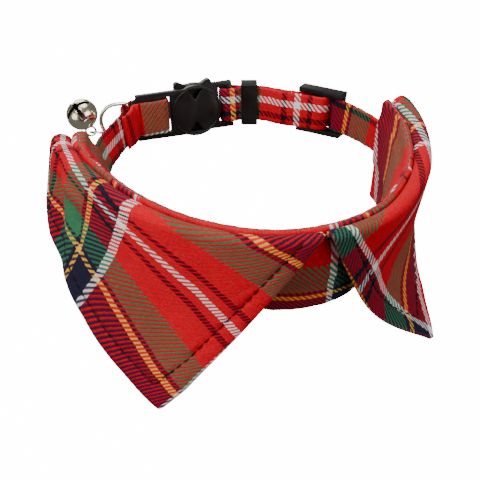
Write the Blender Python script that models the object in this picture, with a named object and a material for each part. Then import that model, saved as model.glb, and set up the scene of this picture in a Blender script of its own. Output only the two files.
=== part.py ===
"""Tartan cat collar with two shirt-collar points, a breakaway buckle, a slider and a bell.

The neck hole's axis is +Z. The origin is the middle of the neck hole at the strap's mid height, the
points of the collar hang at the front, towards -Y, and the buckle is at the back. Lengths are metres.
A station is a distance along the strap's line from the front of the collar, counted towards +X.
"""

import math
from collections import namedtuple

import bmesh
import bpy
import numpy as np
from mathutils import Matrix, Vector

# Strap line
NECK_RADIUS = 0.0410
FRONT_BEARING = 294.0
CLEARANCE = 0.0003

PlanRow = namedtuple("PlanRow", "bearing reach")
NECK_PLAN = (
    PlanRow(0, 0.98),
    PlanRow(30, 1.07),
    PlanRow(55, 1.10),
    PlanRow(85, 1.06),
    PlanRow(110, 1.06),
    PlanRow(128, 1.07),
    PlanRow(150, 1.00),
    PlanRow(175, 0.93),
    PlanRow(205, 0.83),
    PlanRow(232, 0.84),
    PlanRow(258, 0.93),
    PlanRow(285, 1.05),
    PlanRow(310, 1.07),
    PlanRow(335, 1.00),
)

LeanRow = namedtuple("LeanRow", "bearing degrees")
LEAN_TABLE = (
    LeanRow(0, 15.0),
    LeanRow(30, 6.0),
    LeanRow(60, 9.0),
    LeanRow(110, 10.0),
    LeanRow(145, 12.0),
    LeanRow(172, 24.0),
    LeanRow(205, 22.0),
    LeanRow(294, 18.0),
)

# Strap
STRAP_WIDTH = 0.0096
STRAP_THICKNESS = 0.0012
STRAP_STEP = 0.0030
HEM_RUN = 0.0075
TAIL_WRAP = 0.0008

# Neck stand, a flat cloth tunnel round the strap
STAND_LEFT = 0.0825
STAND_RIGHT = 0.0720
STAND_ABOVE = 0.0120
STAND_BELOW = 0.0180
STAND_WALL = 0.0011
SEAM_GAP = 0.00015
TUNNEL_TAPER = 0.0035
MOUTH_LEFT = 0.0020
MOUTH_RIGHT = 0.0004
MOUTH_REACH = 0.0120
STAND_STEP = 0.0045

# Lapels, the two pointed falls
LAPEL_THICKNESS = 0.0015
LAPEL_PARTING = 0.0004
LAPEL_LEG = 0.0018
END_DROP = 0.0190
POINT_DROP = 0.0515
POINT_SETBACK = 0.0310
LEFT_BOW = 0.0
RIGHT_BOW = 0.5
POINT_ROUNDING = 0.0009
DRAPE_LENGTH = 0.0300
LAPEL_COLUMNS = 30
LAPEL_ROWS = 13
ROLL_ROWS = 4
ROLL_RADIUS = 0.0019
LEFT_FOLD = 0.0012
RIGHT_FOLD = 0.0
FOLD_SETBACK = 0.0085
FOLD_WIDTH = 0.0040
FOLD_REACH = 0.0200

FallRow = namedtuple("FallRow", "share roll tuck cling flare")
LEFT_FALL = (
    FallRow(0.0, 1.0, -6.0, 0.30, 16.0),
    FallRow(0.25, 1.0, -8.0, 0.30, 16.0),
    FallRow(0.55, 0.84, -4.0, 0.30, 13.0),
    FallRow(0.80, 0.63, 0.0, 0.25, 13.0),
    FallRow(1.0, 0.53, 10.0, 0.25, 14.0),
)
RIGHT_FALL = (
    FallRow(0.0, 0.74, 4.0, 0.40, 6.0),
    FallRow(0.25, 0.74, 8.0, 0.60, 12.0),
    FallRow(0.55, 0.68, 14.0, 0.80, 40.0),
    FallRow(0.80, 0.58, 17.0, 0.90, 40.0),
    FallRow(1.0, 0.53, 17.0, 0.90, 20.0),
)

# Breakaway buckle
BUCKLE_BEARING = 108.5
FLAT_BEFORE = 0.0115
FLAT_AFTER = 0.0162
FLAT_EASE_BEFORE = 0.0150
FLAT_EASE_AFTER = 0.0070
DISC_RADIUS = 0.0073
PLATE_THICKNESS = 0.0018
FRAME_RAIL = 0.0015
BAR_WIDTH = 0.0018
LONG_FRAME = 0.0076
NOTCH_WIDTH = 0.0040
NOTCH_DEPTH = 0.0028
NOTCH_INSET = 0.0013
EAR_HEIGHT = 0.0022
EAR_SPREAD = 32.0
EAR_HALF_ANGLE = 16.0

# Keeper loop and slider
KEEPER_GAP = 0.0024
KEEPER_WIDTH = 0.0046
KEEPER_WALL = 0.0008
KEEPER_TO_SLIDER = 0.0120
SLIDER_LENGTH = 0.0130
SLIDER_SIDE = 0.0013
SLIDER_BAR = 0.0014
SLIDER_LIP = 0.0003

# D-ring, jump ring and bell
D_RING_TO_BUCKLE = 0.0030
D_RING_WIRE = 0.0011
D_RING_DEPTH = 0.0086
JUMP_RING_RADIUS = 0.0029
JUMP_RING_WIRE = 0.0007
DROP_BEARING = 162.0
DROP_DIP = 8.0
JUMP_RING_TILT = 27.0
JUMP_RING_SPOT = -30.0
BELL_RADIUS = 0.0044
BELL_WALL = 0.0005
BELL_SLOT = 0.0010
BELL_SLOT_REACH = 68.0
BELL_SLOT_TILT = 32.0
BELL_SLOT_TURN = 20.0
BELL_BEARING = 172.0
BELL_RISE = 65.0
BAIL_RADIUS = 0.0014
BAIL_WIRE = 0.0006


class NeckLine:
    """The strap's closed line in plan, with a leaning frame at each station along it."""

    def __init__(self):
        bearings = np.radians([row.bearing for row in NECK_PLAN])
        reaches = np.array([row.reach for row in NECK_PLAN]) * NECK_RADIUS
        front = math.radians(FRONT_BEARING)
        sweep = front + np.linspace(0.0, 2.0 * math.pi, 1441)
        reach = periodic_curve(sweep, bearings, reaches)
        curved = np.stack([reach * np.cos(sweep), reach * np.sin(sweep)], axis=-1)
        buckle_turn = math.radians((BUCKLE_BEARING - FRONT_BEARING) % 360.0)
        self.points = straighten(curved, front + buckle_turn, sweep)
        steps = np.linalg.norm(np.diff(self.points, axis=0), axis=1)
        self.stations = np.concatenate([[0.0], np.cumsum(steps)])
        self.length = float(self.stations[-1])
        lean_bearings = np.radians([row.bearing for row in LEAN_TABLE])
        leans = np.radians([row.degrees for row in LEAN_TABLE])
        self.leans = periodic_curve(sweep, lean_bearings, leans)
        tangents = np.gradient(self.points, self.stations, axis=0)
        seam = (self.points[1] - self.points[-2]) / (self.stations[1] + steps[-1])
        tangents[0] = seam
        tangents[-1] = seam
        self.tangents = tangents / np.linalg.norm(tangents, axis=1, keepdims=True)
        self.sweep = sweep

    def read(self, values, station):
        """Interpolates a column of values at one or more stations."""
        wrapped = np.mod(station, self.length)
        columns = values.reshape(len(self.stations), -1).T
        result = np.stack([np.interp(wrapped, self.stations, column) for column in columns], axis=-1)
        return result[..., 0] if values.ndim == 1 else result

    def station_at(self, bearing):
        """The station on the side of the loop that the bearing, in degrees, points at."""
        turn = math.radians((bearing - FRONT_BEARING) % 360.0) + math.radians(FRONT_BEARING)
        return float(np.interp(turn, self.sweep, self.stations))

    def frame(self, station):
        """Centre, outward, along and up vectors of the leaning frame, and the level outward vector."""
        station = np.asarray(station, dtype=float)
        centre = self.read(self.points, station)
        tangent = self.read(self.tangents, station)
        tangent = tangent / np.linalg.norm(tangent, axis=-1, keepdims=True)
        lean = self.read(self.leans, station)[..., None]
        zero = np.zeros(lean.shape)
        centre = np.concatenate([centre, zero], axis=-1)
        along = np.concatenate([tangent, zero], axis=-1)
        level = np.concatenate([tangent[..., 1:2], -tangent[..., 0:1], zero], axis=-1)
        rise = np.concatenate([zero, zero, zero + 1.0], axis=-1)
        up = rise * np.cos(lean) + level * np.sin(lean)
        outward = level * np.cos(lean) - rise * np.sin(lean)
        return centre, outward, along, up, level

    def place(self, stations, offsets, heights):
        """Points at each station, moved outward by its row of offsets and up by the heights."""
        centre, outward, _, up, _ = (axis[:, None, :] for axis in self.frame(stations))
        return centre + outward * offsets[..., None] + up * heights[:, None]

    def placement(self, station):
        """Matrix that puts a part drawn as X outward, Y along and Z up at a station."""
        centre, outward, along, up, _ = self.frame(station)
        return matrix_from_axes(outward, along, up, centre)


def matrix_from_axes(x_axis, y_axis, z_axis, origin):
    """Placement matrix with the given axes and origin."""
    place = Matrix.Identity(4)
    for column, axis in enumerate((x_axis, y_axis, z_axis, origin)):
        place.col[column].xyz = Vector(axis)
    return place


def direction(bearing, rise):
    """Unit vector at a bearing and a rise above the level, in degrees."""
    turn = math.radians(bearing)
    level = math.cos(math.radians(rise))
    return Vector((level * math.cos(turn), level * math.sin(turn), math.sin(math.radians(rise))))


def periodic_curve(angles, knots, values):
    """Smooth closed curve of values over angles, a cubic with the slope of each knot's neighbours."""
    turn = 2.0 * math.pi
    knots = np.concatenate([knots - turn, knots, knots + turn, knots + 2.0 * turn])
    values = np.tile(values, 4)
    slopes = np.gradient(values, knots)
    index = np.clip(np.searchsorted(knots, angles) - 1, 0, len(knots) - 2)
    width = knots[index + 1] - knots[index]
    share = (angles - knots[index]) / width
    start = (1.0 + 2.0 * share) * (1.0 - share) ** 2 * values[index]
    end = share ** 2 * (3.0 - 2.0 * share) * values[index + 1]
    start_slope = share * (1.0 - share) ** 2 * width * slopes[index]
    end_slope = share ** 2 * (share - 1.0) * width * slopes[index + 1]
    return start + end + start_slope + end_slope


def smooth_step(value):
    """Rises smoothly from 0 to 1 as the value does."""
    value = np.clip(value, 0.0, 1.0)
    return value * value * (3.0 - 2.0 * value)


def straighten(points, spot, sweep):
    """Lays the line flat along the stiff buckle and eases it back into the curve at both ends."""
    middle = int(np.argmin(np.abs(sweep - spot)))
    steps = np.linalg.norm(np.diff(points, axis=0), axis=1)
    travel = np.concatenate([[0.0], np.cumsum(steps)])
    travel = travel - travel[middle]
    heading = points[middle + 1] - points[middle - 1]
    heading = heading / np.linalg.norm(heading)
    flat = points[middle] + heading * travel[:, None]
    weight = smooth_step((travel + FLAT_BEFORE) / FLAT_EASE_BEFORE + 1.0)
    weight = weight * smooth_step((FLAT_AFTER - travel) / FLAT_EASE_AFTER + 1.0)
    return points + (flat - points) * weight[:, None]


def make_material(name, colour, roughness, metallic):
    material = bpy.data.materials.new(name)
    material.use_nodes = True
    shader = material.node_tree.nodes["Principled BSDF"]
    shader.inputs["Base Color"].default_value = (*colour, 1.0)
    shader.inputs["Roughness"].default_value = roughness
    shader.inputs["Metallic"].default_value = metallic
    return material


def add_object(name, mesh, material):
    part = bpy.data.objects.new(name, mesh)
    mesh.materials.append(material)
    bpy.context.scene.collection.objects.link(part)
    return part


def finish_bmesh(name, shape, material, smooth_angle=40.0):
    """Turns a bmesh into a named object, faces out, shaded smooth below the given edge angle."""
    bmesh.ops.recalc_face_normals(shape, faces=shape.faces)
    mesh = bpy.data.meshes.new(name)
    shape.to_mesh(mesh)
    shape.free()
    mesh.shade_smooth()
    mesh.set_sharp_from_angle(angle=math.radians(smooth_angle))
    return add_object(name, mesh, material)


def add_rings(shape, rings, closed_rings=True):
    """Adds rows of points and the faces between neighbouring rows, and returns the rows' vertices."""
    rows = [[shape.verts.new(Vector(point)) for point in ring] for ring in rings]
    count = len(rows[0])
    spans = count if closed_rings else count - 1
    for row, after in zip(rows, rows[1:]):
        for index in range(spans):
            beside = (index + 1) % count
            shape.faces.new((row[index], row[beside], after[beside], after[index]))
    return rows


def stand_half_gap(height):
    """Half the tunnel's width: wide enough for the strap, narrow towards both seams."""
    room = STRAP_THICKNESS / 2.0 + CLEARANCE
    reach = STRAP_WIDTH / 2.0 + CLEARANCE
    share = smooth_step((np.abs(height) - reach) / TUNNEL_TAPER)
    return room + (SEAM_GAP - room) * share


def build_stand(neck, material):
    """The neck band: a closed wall of cloth round a flat tunnel, open at both ends."""
    count = round((STAND_LEFT + STAND_RIGHT) / STAND_STEP)
    stations = np.linspace(-STAND_LEFT, STAND_RIGHT, count + 1)
    reach = STRAP_WIDTH / 2.0 + CLEARANCE
    lower = -STAND_BELOW + STAND_WALL
    upper = STAND_ABOVE - STAND_WALL
    eased = reach + TUNNEL_TAPER / 2.0
    heights = np.array([lower, -reach - TUNNEL_TAPER, -eased, -reach, reach, eased, upper])
    gaps = stand_half_gap(heights)
    opening = MOUTH_LEFT * smooth_step(1.0 - (stations + STAND_LEFT) / MOUTH_REACH)
    opening = opening + MOUTH_RIGHT * smooth_step(1.0 - (STAND_RIGHT - stations) / MOUTH_REACH)
    rise = smooth_step((heights - lower) / (upper - lower))
    outer_side = gaps + opening[:, None] * rise
    inner_side = np.broadcast_to(-gaps[::-1], outer_side.shape)
    seam_sides = outer_side[:, [0, -1]] / 2.0
    outside = (STAND_WALL, -STAND_BELOW, STAND_ABOVE)
    tunnel = (0.0, lower - SEAM_GAP, upper + SEAM_GAP)
    rows = []
    for wall, foot, top in (outside, tunnel):
        sides = (seam_sides[:, :1], outer_side + wall, seam_sides[:, 1:], inner_side - wall)
        offsets = np.concatenate(sides, axis=1)
        levels = np.concatenate([[foot], heights, [top], heights[::-1]])
        rows.append(neck.place(stations, offsets, levels))
    shape = bmesh.new()
    outer_rows = add_rings(shape, rows[0])
    inner_rows = add_rings(shape, rows[1])
    for end in (0, -1):
        ring_size = len(outer_rows[end])
        for index in range(ring_size):
            beside = (index + 1) % ring_size
            shape.faces.new((
                outer_rows[end][index],
                outer_rows[end][beside],
                inner_rows[end][beside],
                inner_rows[end][index],
            ))
    return finish_bmesh("neck_stand", shape, material)


def fall_profile(depths, roll, tuck, cling, flare):
    """Outward and upward distance from the roll's top at each depth down the cloth.

    The cloth turns round the roll until it points down and inwards by the tuck angle, clings to
    the stand for a while, and then swings outwards to the flare angle over the drape length. A
    negative depth runs back over the roll's inner quarter.
    """
    fine = np.linspace(0.0, POINT_DROP * 1.2, 161)
    first = math.pi / 2.0 + tuck
    after = (fine - first * roll - cling) / DRAPE_LENGTH
    angle = np.minimum(fine / roll, first) - (tuck + flare) * smooth_step(after)
    step = fine[1]
    outs = np.concatenate([[0.0], np.cumsum((np.cos(angle[1:]) + np.cos(angle[:-1])) * step / 2.0)])
    downs = np.concatenate([[0.0], np.cumsum((np.sin(angle[1:]) + np.sin(angle[:-1])) * step / 2.0)])
    back = np.clip(depths, -math.pi / 2.0 * roll, 0.0) / roll
    leg = np.minimum(depths + math.pi / 2.0 * roll, 0.0)
    forward = np.clip(depths, 0.0, None)
    out = np.interp(forward, fine, outs) + roll * np.sin(back)
    rise = -np.interp(forward, fine, downs) - roll * (1.0 - np.cos(back))
    return out, rise, leg


def lapel_fold(across, depth, fold):
    """How far a soft crease near the lapel's back end sinks inwards, slanting forward as it falls."""
    valley = (across - FOLD_SETBACK - depth * 0.25) / FOLD_WIDTH
    fall = smooth_step(depth / (FOLD_REACH * 0.35)) * smooth_step(2.0 - depth / FOLD_REACH)
    return -fold * fall * (1.0 - 1.2 * valley ** 2) * np.exp(-valley ** 2)


def lapel_surface(neck, side, length, bow, fold, fall_table):
    """The middle surface of one lapel, as rows of points from the seam to the free edge.

    In its flat pattern the lapel is a four-cornered leaf: its top edge follows the stand, its end
    drops at the back, and its front edge slants back from the collar's front to the point.
    """
    share = np.linspace(0.0, 1.0, LAPEL_COLUMNS)[None, :]
    down = np.linspace(0.0, 1.0, LAPEL_ROWS)[1:, None]
    knots, rolls, tucks, clings, flares = np.array(fall_table).T
    rolls = rolls * ROLL_RADIUS
    quarter = math.pi / 2.0 * np.interp(share, knots, rolls)
    turned = np.linspace(-1.0, 0.0, ROLL_ROWS + 1)[:, None]
    slant = down - bow * down * (1.0 - down)
    across = np.concatenate([
        np.repeat(share * length, ROLL_ROWS + 2, axis=0),
        share * (length - slant * POINT_SETBACK),
    ])
    depth = np.concatenate([
        -quarter - LAPEL_LEG,
        turned * quarter,
        down * (END_DROP + (POINT_DROP - END_DROP) * share),
    ])
    where = across / length
    roll = np.interp(where, knots, rolls)
    tuck = np.radians(np.interp(where, knots, tucks))
    flare = np.radians(np.interp(where, knots, flares))
    cling = END_DROP * np.interp(where, knots, clings)
    out = np.zeros(across.shape)
    rise = np.zeros(across.shape)
    leg = np.zeros(across.shape)
    for index in np.ndindex(across.shape):
        shape = (roll[index], tuck[index], cling[index], flare[index])
        profile = fall_profile(np.array([depth[index]]), *shape)
        out[index], rise[index], leg[index] = (values[0] for values in profile)
    out = out + lapel_fold(across, depth, fold)
    station = side * (length + LAPEL_PARTING - across)
    centre, outward, _, up, level = neck.frame(station)
    mouth = (MOUTH_LEFT if side < 0 else MOUTH_RIGHT) * smooth_step(1.0 - across / MOUTH_REACH)
    leg_offset = STAND_WALL + SEAM_GAP + 2.0 * CLEARANCE + LAPEL_THICKNESS / 2.0 + mouth
    leg_top = centre + outward * leg_offset[..., None] + up * (STAND_ABOVE - roll)[..., None]
    vertical = np.array([0.0, 0.0, 1.0])
    points = leg_top + level * (out + roll)[..., None] + vertical * (rise + roll)[..., None]
    return points + up * leg[..., None]


def build_lapel(neck, name, side, length, bow, fold, fall_table, material):
    """One pointed fall: the middle surface given its thickness, with a rounded point."""
    points = lapel_surface(neck, side, length, bow, fold, fall_table)
    corner = points[-1, -1]
    inward = points[-2, -2] - corner
    points[-1, -1] = corner + inward / np.linalg.norm(inward) * POINT_ROUNDING
    shape = bmesh.new()
    add_rings(shape, points, closed_rings=False)
    lapel = finish_bmesh(name, shape, material)
    wall = lapel.modifiers.new("Cloth", "SOLIDIFY")
    wall.thickness = LAPEL_THICKNESS
    wall.offset = 0.0
    wall.use_even_offset = False
    return lapel


class Layout:
    """Where the fittings sit along the strap, worked out from their own sizes."""

    def __init__(self, neck):
        self.ply = STRAP_THICKNESS / 2.0 + CLEARANCE / 2.0
        self.plate_offset = CLEARANCE / 2.0 + PLATE_THICKNESS / 2.0
        self.plate_turn = math.hypot(BAR_WIDTH, PLATE_THICKNESS) / 2.0 + CLEARANCE + STRAP_THICKNESS / 2.0
        self.bar_reach = DISC_RADIUS + CLEARANCE + STRAP_THICKNESS / 2.0 + self.plate_turn
        self.short_reach = self.bar_reach + BAR_WIDTH / 2.0
        self.long_reach = self.bar_reach - BAR_WIDTH / 2.0 + LONG_FRAME
        self.frame_height = STRAP_WIDTH + 2.0 * CLEARANCE + 2.0 * FRAME_RAIL
        self.buckle = neck.station_at(BUCKLE_BEARING)
        self.slider_turn = math.hypot(SLIDER_BAR, SLIDER_BAR) / 2.0 + CLEARANCE + STRAP_THICKNESS / 2.0
        self.slider_hill = self.slider_turn + STRAP_THICKNESS + CLEARANCE
        self.rail_reach = SLIDER_LENGTH / 2.0 - SLIDER_BAR / 2.0
        self.rail_pass = STRAP_THICKNESS / 2.0
        self.rail_offset = self.rail_pass + STRAP_THICKNESS / 2.0 + CLEARANCE + SLIDER_BAR / 2.0
        self.keeper = self.buckle - self.short_reach - KEEPER_GAP - KEEPER_WIDTH / 2.0
        self.slider = self.keeper - KEEPER_WIDTH / 2.0 - KEEPER_TO_SLIDER - SLIDER_LENGTH / 2.0
        self.ring_gap = D_RING_WIRE / 2.0 + CLEARANCE + STRAP_THICKNESS / 2.0
        self.ring = self.buckle + self.long_reach + D_RING_TO_BUCKLE
        self.hem = self.ring + HEM_RUN
        self.length = neck.length


def run(start, end, step=STRAP_STEP):
    """Path points from one station and offset to the next, easing from offset to offset."""
    count = max(2, math.ceil(abs(end[0] - start[0]) / step) + 1)
    share = np.linspace(0.0, 1.0, count)[1:]
    stations = start[0] + (end[0] - start[0]) * share
    offsets = start[1] + (end[1] - start[1]) * smooth_step(share)
    return list(zip(stations, offsets))


def turn(centre, radius, start, end, count=7):
    """Path points on an arc round a bar, between two angles in degrees."""
    angles = np.radians(np.linspace(start, end, count))
    return [(centre[0] + radius * math.cos(a), centre[1] + radius * math.sin(a)) for a in angles]


def join(route, stops):
    """Carries a route on through further stops with easing runs between them."""
    for stop in stops:
        route += run(route[-1], stop)
    return route


def strap_route(spots):
    """The whole strap as stations and outward offsets, from its sewn tail to its hem.

    The tail is wrapped round the slider's bar and runs inside to the buckle's short frame. There it
    turns round the bar, comes back outside through the keeper and the slider, goes round the neck
    through the stand, turns round the long frame's bar and ends in a hem past the D-ring.
    """
    bar = (spots.slider, 0.0)
    route = [(spots.slider + TAIL_WRAP, spots.slider_turn)]
    route += turn(bar, spots.slider_turn, 90.0, 270.0, 9)
    keeper_ends = (spots.keeper - KEEPER_WIDTH / 2.0, spots.keeper + KEEPER_WIDTH / 2.0)
    short_bar = (spots.buckle - spots.bar_reach, spots.plate_offset)
    join(route, (
        (spots.slider + spots.rail_reach, -spots.slider_turn),
        (keeper_ends[0], -spots.ply),
        (keeper_ends[1], -spots.ply),
        (short_bar[0], short_bar[1] - spots.plate_turn),
    ))
    route += turn(short_bar, spots.plate_turn, -75.0, 120.0, 9)
    join(route, (
        (keeper_ends[1], spots.ply),
        (keeper_ends[0], spots.ply),
        (spots.slider + spots.rail_reach, spots.rail_pass),
    ))
    route += turn(bar, spots.slider_hill, 35.0, 145.0)
    join(route, (
        (spots.slider - spots.rail_reach, spots.rail_pass),
        (spots.slider - SLIDER_LENGTH, 0.0),
        (spots.hem - spots.length + 2.0 * STRAP_STEP, 0.0),
        (spots.hem - spots.length - STRAP_STEP, spots.ply),
        (spots.ring - spots.length + D_RING_WIRE, spots.ring_gap),
        (spots.ring - spots.length, spots.ring_gap),
    ))
    long_bar = (spots.buckle + spots.bar_reach - spots.length, -spots.plate_offset)
    plate_end = spots.buckle + spots.long_reach + STRAP_THICKNESS / 2.0 - spots.length
    join(route, (
        (plate_end, long_bar[1] + spots.plate_turn),
        (long_bar[0], long_bar[1] + spots.plate_turn),
    ))
    route += turn(long_bar, spots.plate_turn, 105.0, 270.0)
    join(route, (
        (plate_end, long_bar[1] - spots.plate_turn),
        (spots.ring - spots.length, -spots.ring_gap),
        (spots.ring - spots.length + D_RING_WIRE, -spots.ring_gap),
        (spots.hem - spots.length, -spots.ply),
    ))
    return np.array(route)


def strap_section():
    """The strap's cross-section: thickness across, width up, with its long edges chamfered."""
    side = STRAP_THICKNESS / 2.0
    edge = STRAP_WIDTH / 2.0
    chamfer = STRAP_THICKNESS / 4.0
    return (
        (side, edge - chamfer), (side - chamfer, edge), (chamfer - side, edge), (-side, edge - chamfer),
        (-side, chamfer - edge), (chamfer - side, -edge), (side - chamfer, -edge), (side, chamfer - edge),
    )


def build_strap(neck, spots, material):
    """The strap, its section carried along the route and closed at both ends."""
    route = strap_route(spots)
    centre, outward, along, up, _ = neck.frame(route[:, 0])
    middle = centre + outward * route[:, 1:2]
    heading = np.gradient(middle, axis=0)
    across = np.cross(heading, up)
    across = across / np.linalg.norm(across, axis=1, keepdims=True)
    shape = bmesh.new()
    rings = [
        [point + side * reach + rise * height for reach, height in strap_section()]
        for point, side, rise in zip(middle, across, up)
    ]
    rows = add_rings(shape, rings)
    shape.faces.new(rows[0])
    shape.faces.new(rows[-1])
    return finish_bmesh("strap", shape, material)


def add_box(shape, lower, upper):
    """Adds a box between two corners."""
    size = Vector(upper) - Vector(lower)
    middle = (Vector(upper) + Vector(lower)) / 2.0
    matrix = Matrix.Translation(middle) @ Matrix.Diagonal((*size, 1.0))
    bmesh.ops.create_cube(shape, size=1.0, matrix=matrix)


def add_prism(shape, outline, start, end):
    """Adds a prism whose outline, as along and up pairs, is extruded outward from start to end."""
    face = shape.faces.new([shape.verts.new((start, along, up)) for along, up in outline])
    moved = bmesh.ops.extrude_face_region(shape, geom=[face])
    verts = [item for item in moved["geom"] if isinstance(item, bmesh.types.BMVert)]
    bmesh.ops.translate(shape, verts=verts, vec=(end - start, 0.0, 0.0))


def make_cutter(name, shape):
    """A hidden helper solid for a Boolean."""
    bmesh.ops.recalc_face_normals(shape, faces=shape.faces)
    mesh = bpy.data.meshes.new(name)
    shape.to_mesh(mesh)
    shape.free()
    cutter = bpy.data.objects.new(name, mesh)
    bpy.context.scene.collection.objects.link(cutter)
    cutter.hide_render = True
    cutter.display_type = "WIRE"
    return cutter


def apply_boolean(part, cutter, operation):
    """Adds an exact Boolean with another solid, which follows the part."""
    cutter.parent = part
    step = part.modifiers.new(cutter.name, "BOOLEAN")
    step.operation = operation
    step.object = cutter
    step.solver = "EXACT"


def circle(radius, count=40):
    """A circle's points as along and up pairs."""
    return [
        (radius * math.cos(2.0 * math.pi * index / count), radius * math.sin(2.0 * math.pi * index / count))
        for index in range(count)
    ]


def head_outline(count=72):
    """The outer plate's outline: a disc with two rounded ears above it."""
    points = []
    for index in range(count):
        angle = 360.0 * index / count
        ear = 0.0
        for middle in (90.0 - EAR_SPREAD, 90.0 + EAR_SPREAD):
            ear = max(ear, float(smooth_step(1.0 - abs(angle - middle) / EAR_HALF_ANGLE)))
        reach = DISC_RADIUS + EAR_HEIGHT * ear
        points.append((reach * math.cos(math.radians(angle)), reach * math.sin(math.radians(angle))))
    return points


def build_buckle_half(name, neck, spots, outline, side, frame_reach, material):
    """One half of the buckle: a plate, and a frame on one side of it with a slot for the strap.

    The side is 1 for the outer half, whose frame points back along the strap, and -1 for the inner
    half.
    """
    inner = side * CLEARANCE / 2.0
    outer = side * (CLEARANCE / 2.0 + PLATE_THICKNESS)
    half_height = spots.frame_height / 2.0
    shape = bmesh.new()
    add_prism(shape, outline, inner, outer)
    plate = finish_bmesh(name, shape, material)
    plate.matrix_world = neck.placement(spots.buckle)
    frame = bmesh.new()
    add_prism(frame, [
        (0.0, -half_height), (0.0, half_height),
        (-side * frame_reach, half_height), (-side * frame_reach, -half_height),
    ], inner, outer)
    apply_boolean(plate, make_cutter(name + "_frame", frame), "UNION")
    slot = bmesh.new()
    near = -side * DISC_RADIUS
    far = -side * (spots.bar_reach - BAR_WIDTH / 2.0)
    reach = STRAP_WIDTH / 2.0 + CLEARANCE
    low, high = min(inner, outer) - CLEARANCE, max(inner, outer) + CLEARANCE
    add_box(slot, (low, min(near, far), -reach), (high, max(near, far), reach))
    apply_boolean(plate, make_cutter(name + "_slot", slot), "DIFFERENCE")
    return plate


def build_buckle(neck, spots, material):
    """The breakaway buckle's two halves, the inner one with its two windows."""
    inner = build_buckle_half(
        "buckle_inner_half", neck, spots, circle(DISC_RADIUS), -1.0, spots.long_reach, material)
    windows = bmesh.new()
    top = DISC_RADIUS - NOTCH_INSET
    low = -(CLEARANCE + PLATE_THICKNESS) * 1.5
    for sign in (1.0, -1.0):
        add_prism(windows, [
            (-NOTCH_WIDTH / 2.0, sign * top),
            (NOTCH_WIDTH / 2.0, sign * top),
            (0.0, sign * (top - NOTCH_DEPTH)),
        ], low, 0.0)
    apply_boolean(inner, make_cutter("buckle_windows", windows), "DIFFERENCE")
    outer = build_buckle_half(
        "buckle_outer_half", neck, spots, head_outline(), 1.0, spots.short_reach, material)
    return inner, outer


def build_keeper(neck, spots, material):
    """The keeper, a square loop round the two runs of the strap."""
    inside = spots.ply + STRAP_THICKNESS / 2.0 + 2.0 * CLEARANCE
    reach = STRAP_WIDTH / 2.0 + CLEARANCE
    half = KEEPER_WIDTH / 2.0
    block = bmesh.new()
    add_box(block, (-inside - KEEPER_WALL, -half, -reach - KEEPER_WALL),
            (inside + KEEPER_WALL, half, reach + KEEPER_WALL))
    keeper = finish_bmesh("keeper_loop", block, material)
    keeper.matrix_world = neck.placement(spots.keeper)
    hole = bmesh.new()
    add_box(hole, (-inside, -2.0 * half, -reach), (inside, 2.0 * half, reach))
    apply_boolean(keeper, make_cutter("keeper_hole", hole), "DIFFERENCE")
    return keeper


def build_slider(neck, spots, material):
    """The slider: two side pieces joined by a middle bar and two raised end rails."""
    reach = STRAP_WIDTH / 2.0 + CLEARANCE
    half = SLIDER_LENGTH / 2.0
    thick = SLIDER_BAR / 2.0
    low = -thick - SLIDER_LIP
    high = spots.rail_offset + thick + SLIDER_LIP
    top = bmesh.new()
    add_box(top, (low, -half, reach), (high, half, reach + SLIDER_SIDE))
    slider = finish_bmesh("slider", top, material)
    slider.matrix_world = neck.placement(spots.slider)
    overlap = SLIDER_SIDE / 2.0
    pieces = {
        "slider_foot": ((low, -half, -reach - SLIDER_SIDE), (high, half, -reach)),
        "slider_bar": ((-thick, -thick, -reach - overlap), (thick, thick, reach + overlap)),
    }
    for label, end in (("slider_near_rail", -1.0), ("slider_far_rail", 1.0)):
        middle = end * spots.rail_reach
        pieces[label] = (
            (spots.rail_offset - thick, middle - thick * 0.96, -reach - overlap),
            (spots.rail_offset + thick, middle + thick * 0.96, reach + overlap),
        )
    for label, (lower, upper) in pieces.items():
        piece = bmesh.new()
        add_box(piece, lower, upper)
        apply_boolean(slider, make_cutter(label, piece), "UNION")
    return slider


def wire_loop(name, points, radius, sides_resolution, material):
    """A closed ring of round wire through the given points."""
    curve = bpy.data.curves.new(name, "CURVE")
    curve.dimensions = "3D"
    curve.bevel_depth = radius
    curve.bevel_resolution = sides_resolution
    curve.twist_mode = "MINIMUM"
    spline = curve.splines.new("POLY")
    spline.points.add(len(points) - 1)
    for point, place in zip(spline.points, points):
        point.co = (*place, 1.0)
    spline.use_cyclic_u = True
    curve.materials.append(material)
    ring = bpy.data.objects.new(name, curve)
    bpy.context.scene.collection.objects.link(ring)
    return ring


def d_ring_half_height():
    """Half the D-ring's inner bar between wire centres, which clears the strap's width."""
    return STRAP_WIDTH / 2.0 + CLEARANCE + D_RING_WIRE / 2.0


def d_ring_points():
    """The D-ring's wire in its own frame: a straight bar at X 0 and an arc that reaches outwards."""
    half = d_ring_half_height()
    arc_centre = D_RING_DEPTH - half
    angles = np.radians(np.linspace(90.0, -90.0, 13))
    arc = [(arc_centre + half * math.cos(a), 0.0, half * math.sin(a)) for a in angles]
    bar = [(0.0, 0.0, height) for height in np.linspace(-half, half, 5)]
    return bar + arc


def build_d_ring(neck, spots, material):
    ring = wire_loop("d_ring", d_ring_points(), D_RING_WIRE / 2.0, 1, material)
    ring.matrix_world = neck.placement(spots.ring)
    return ring


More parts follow.
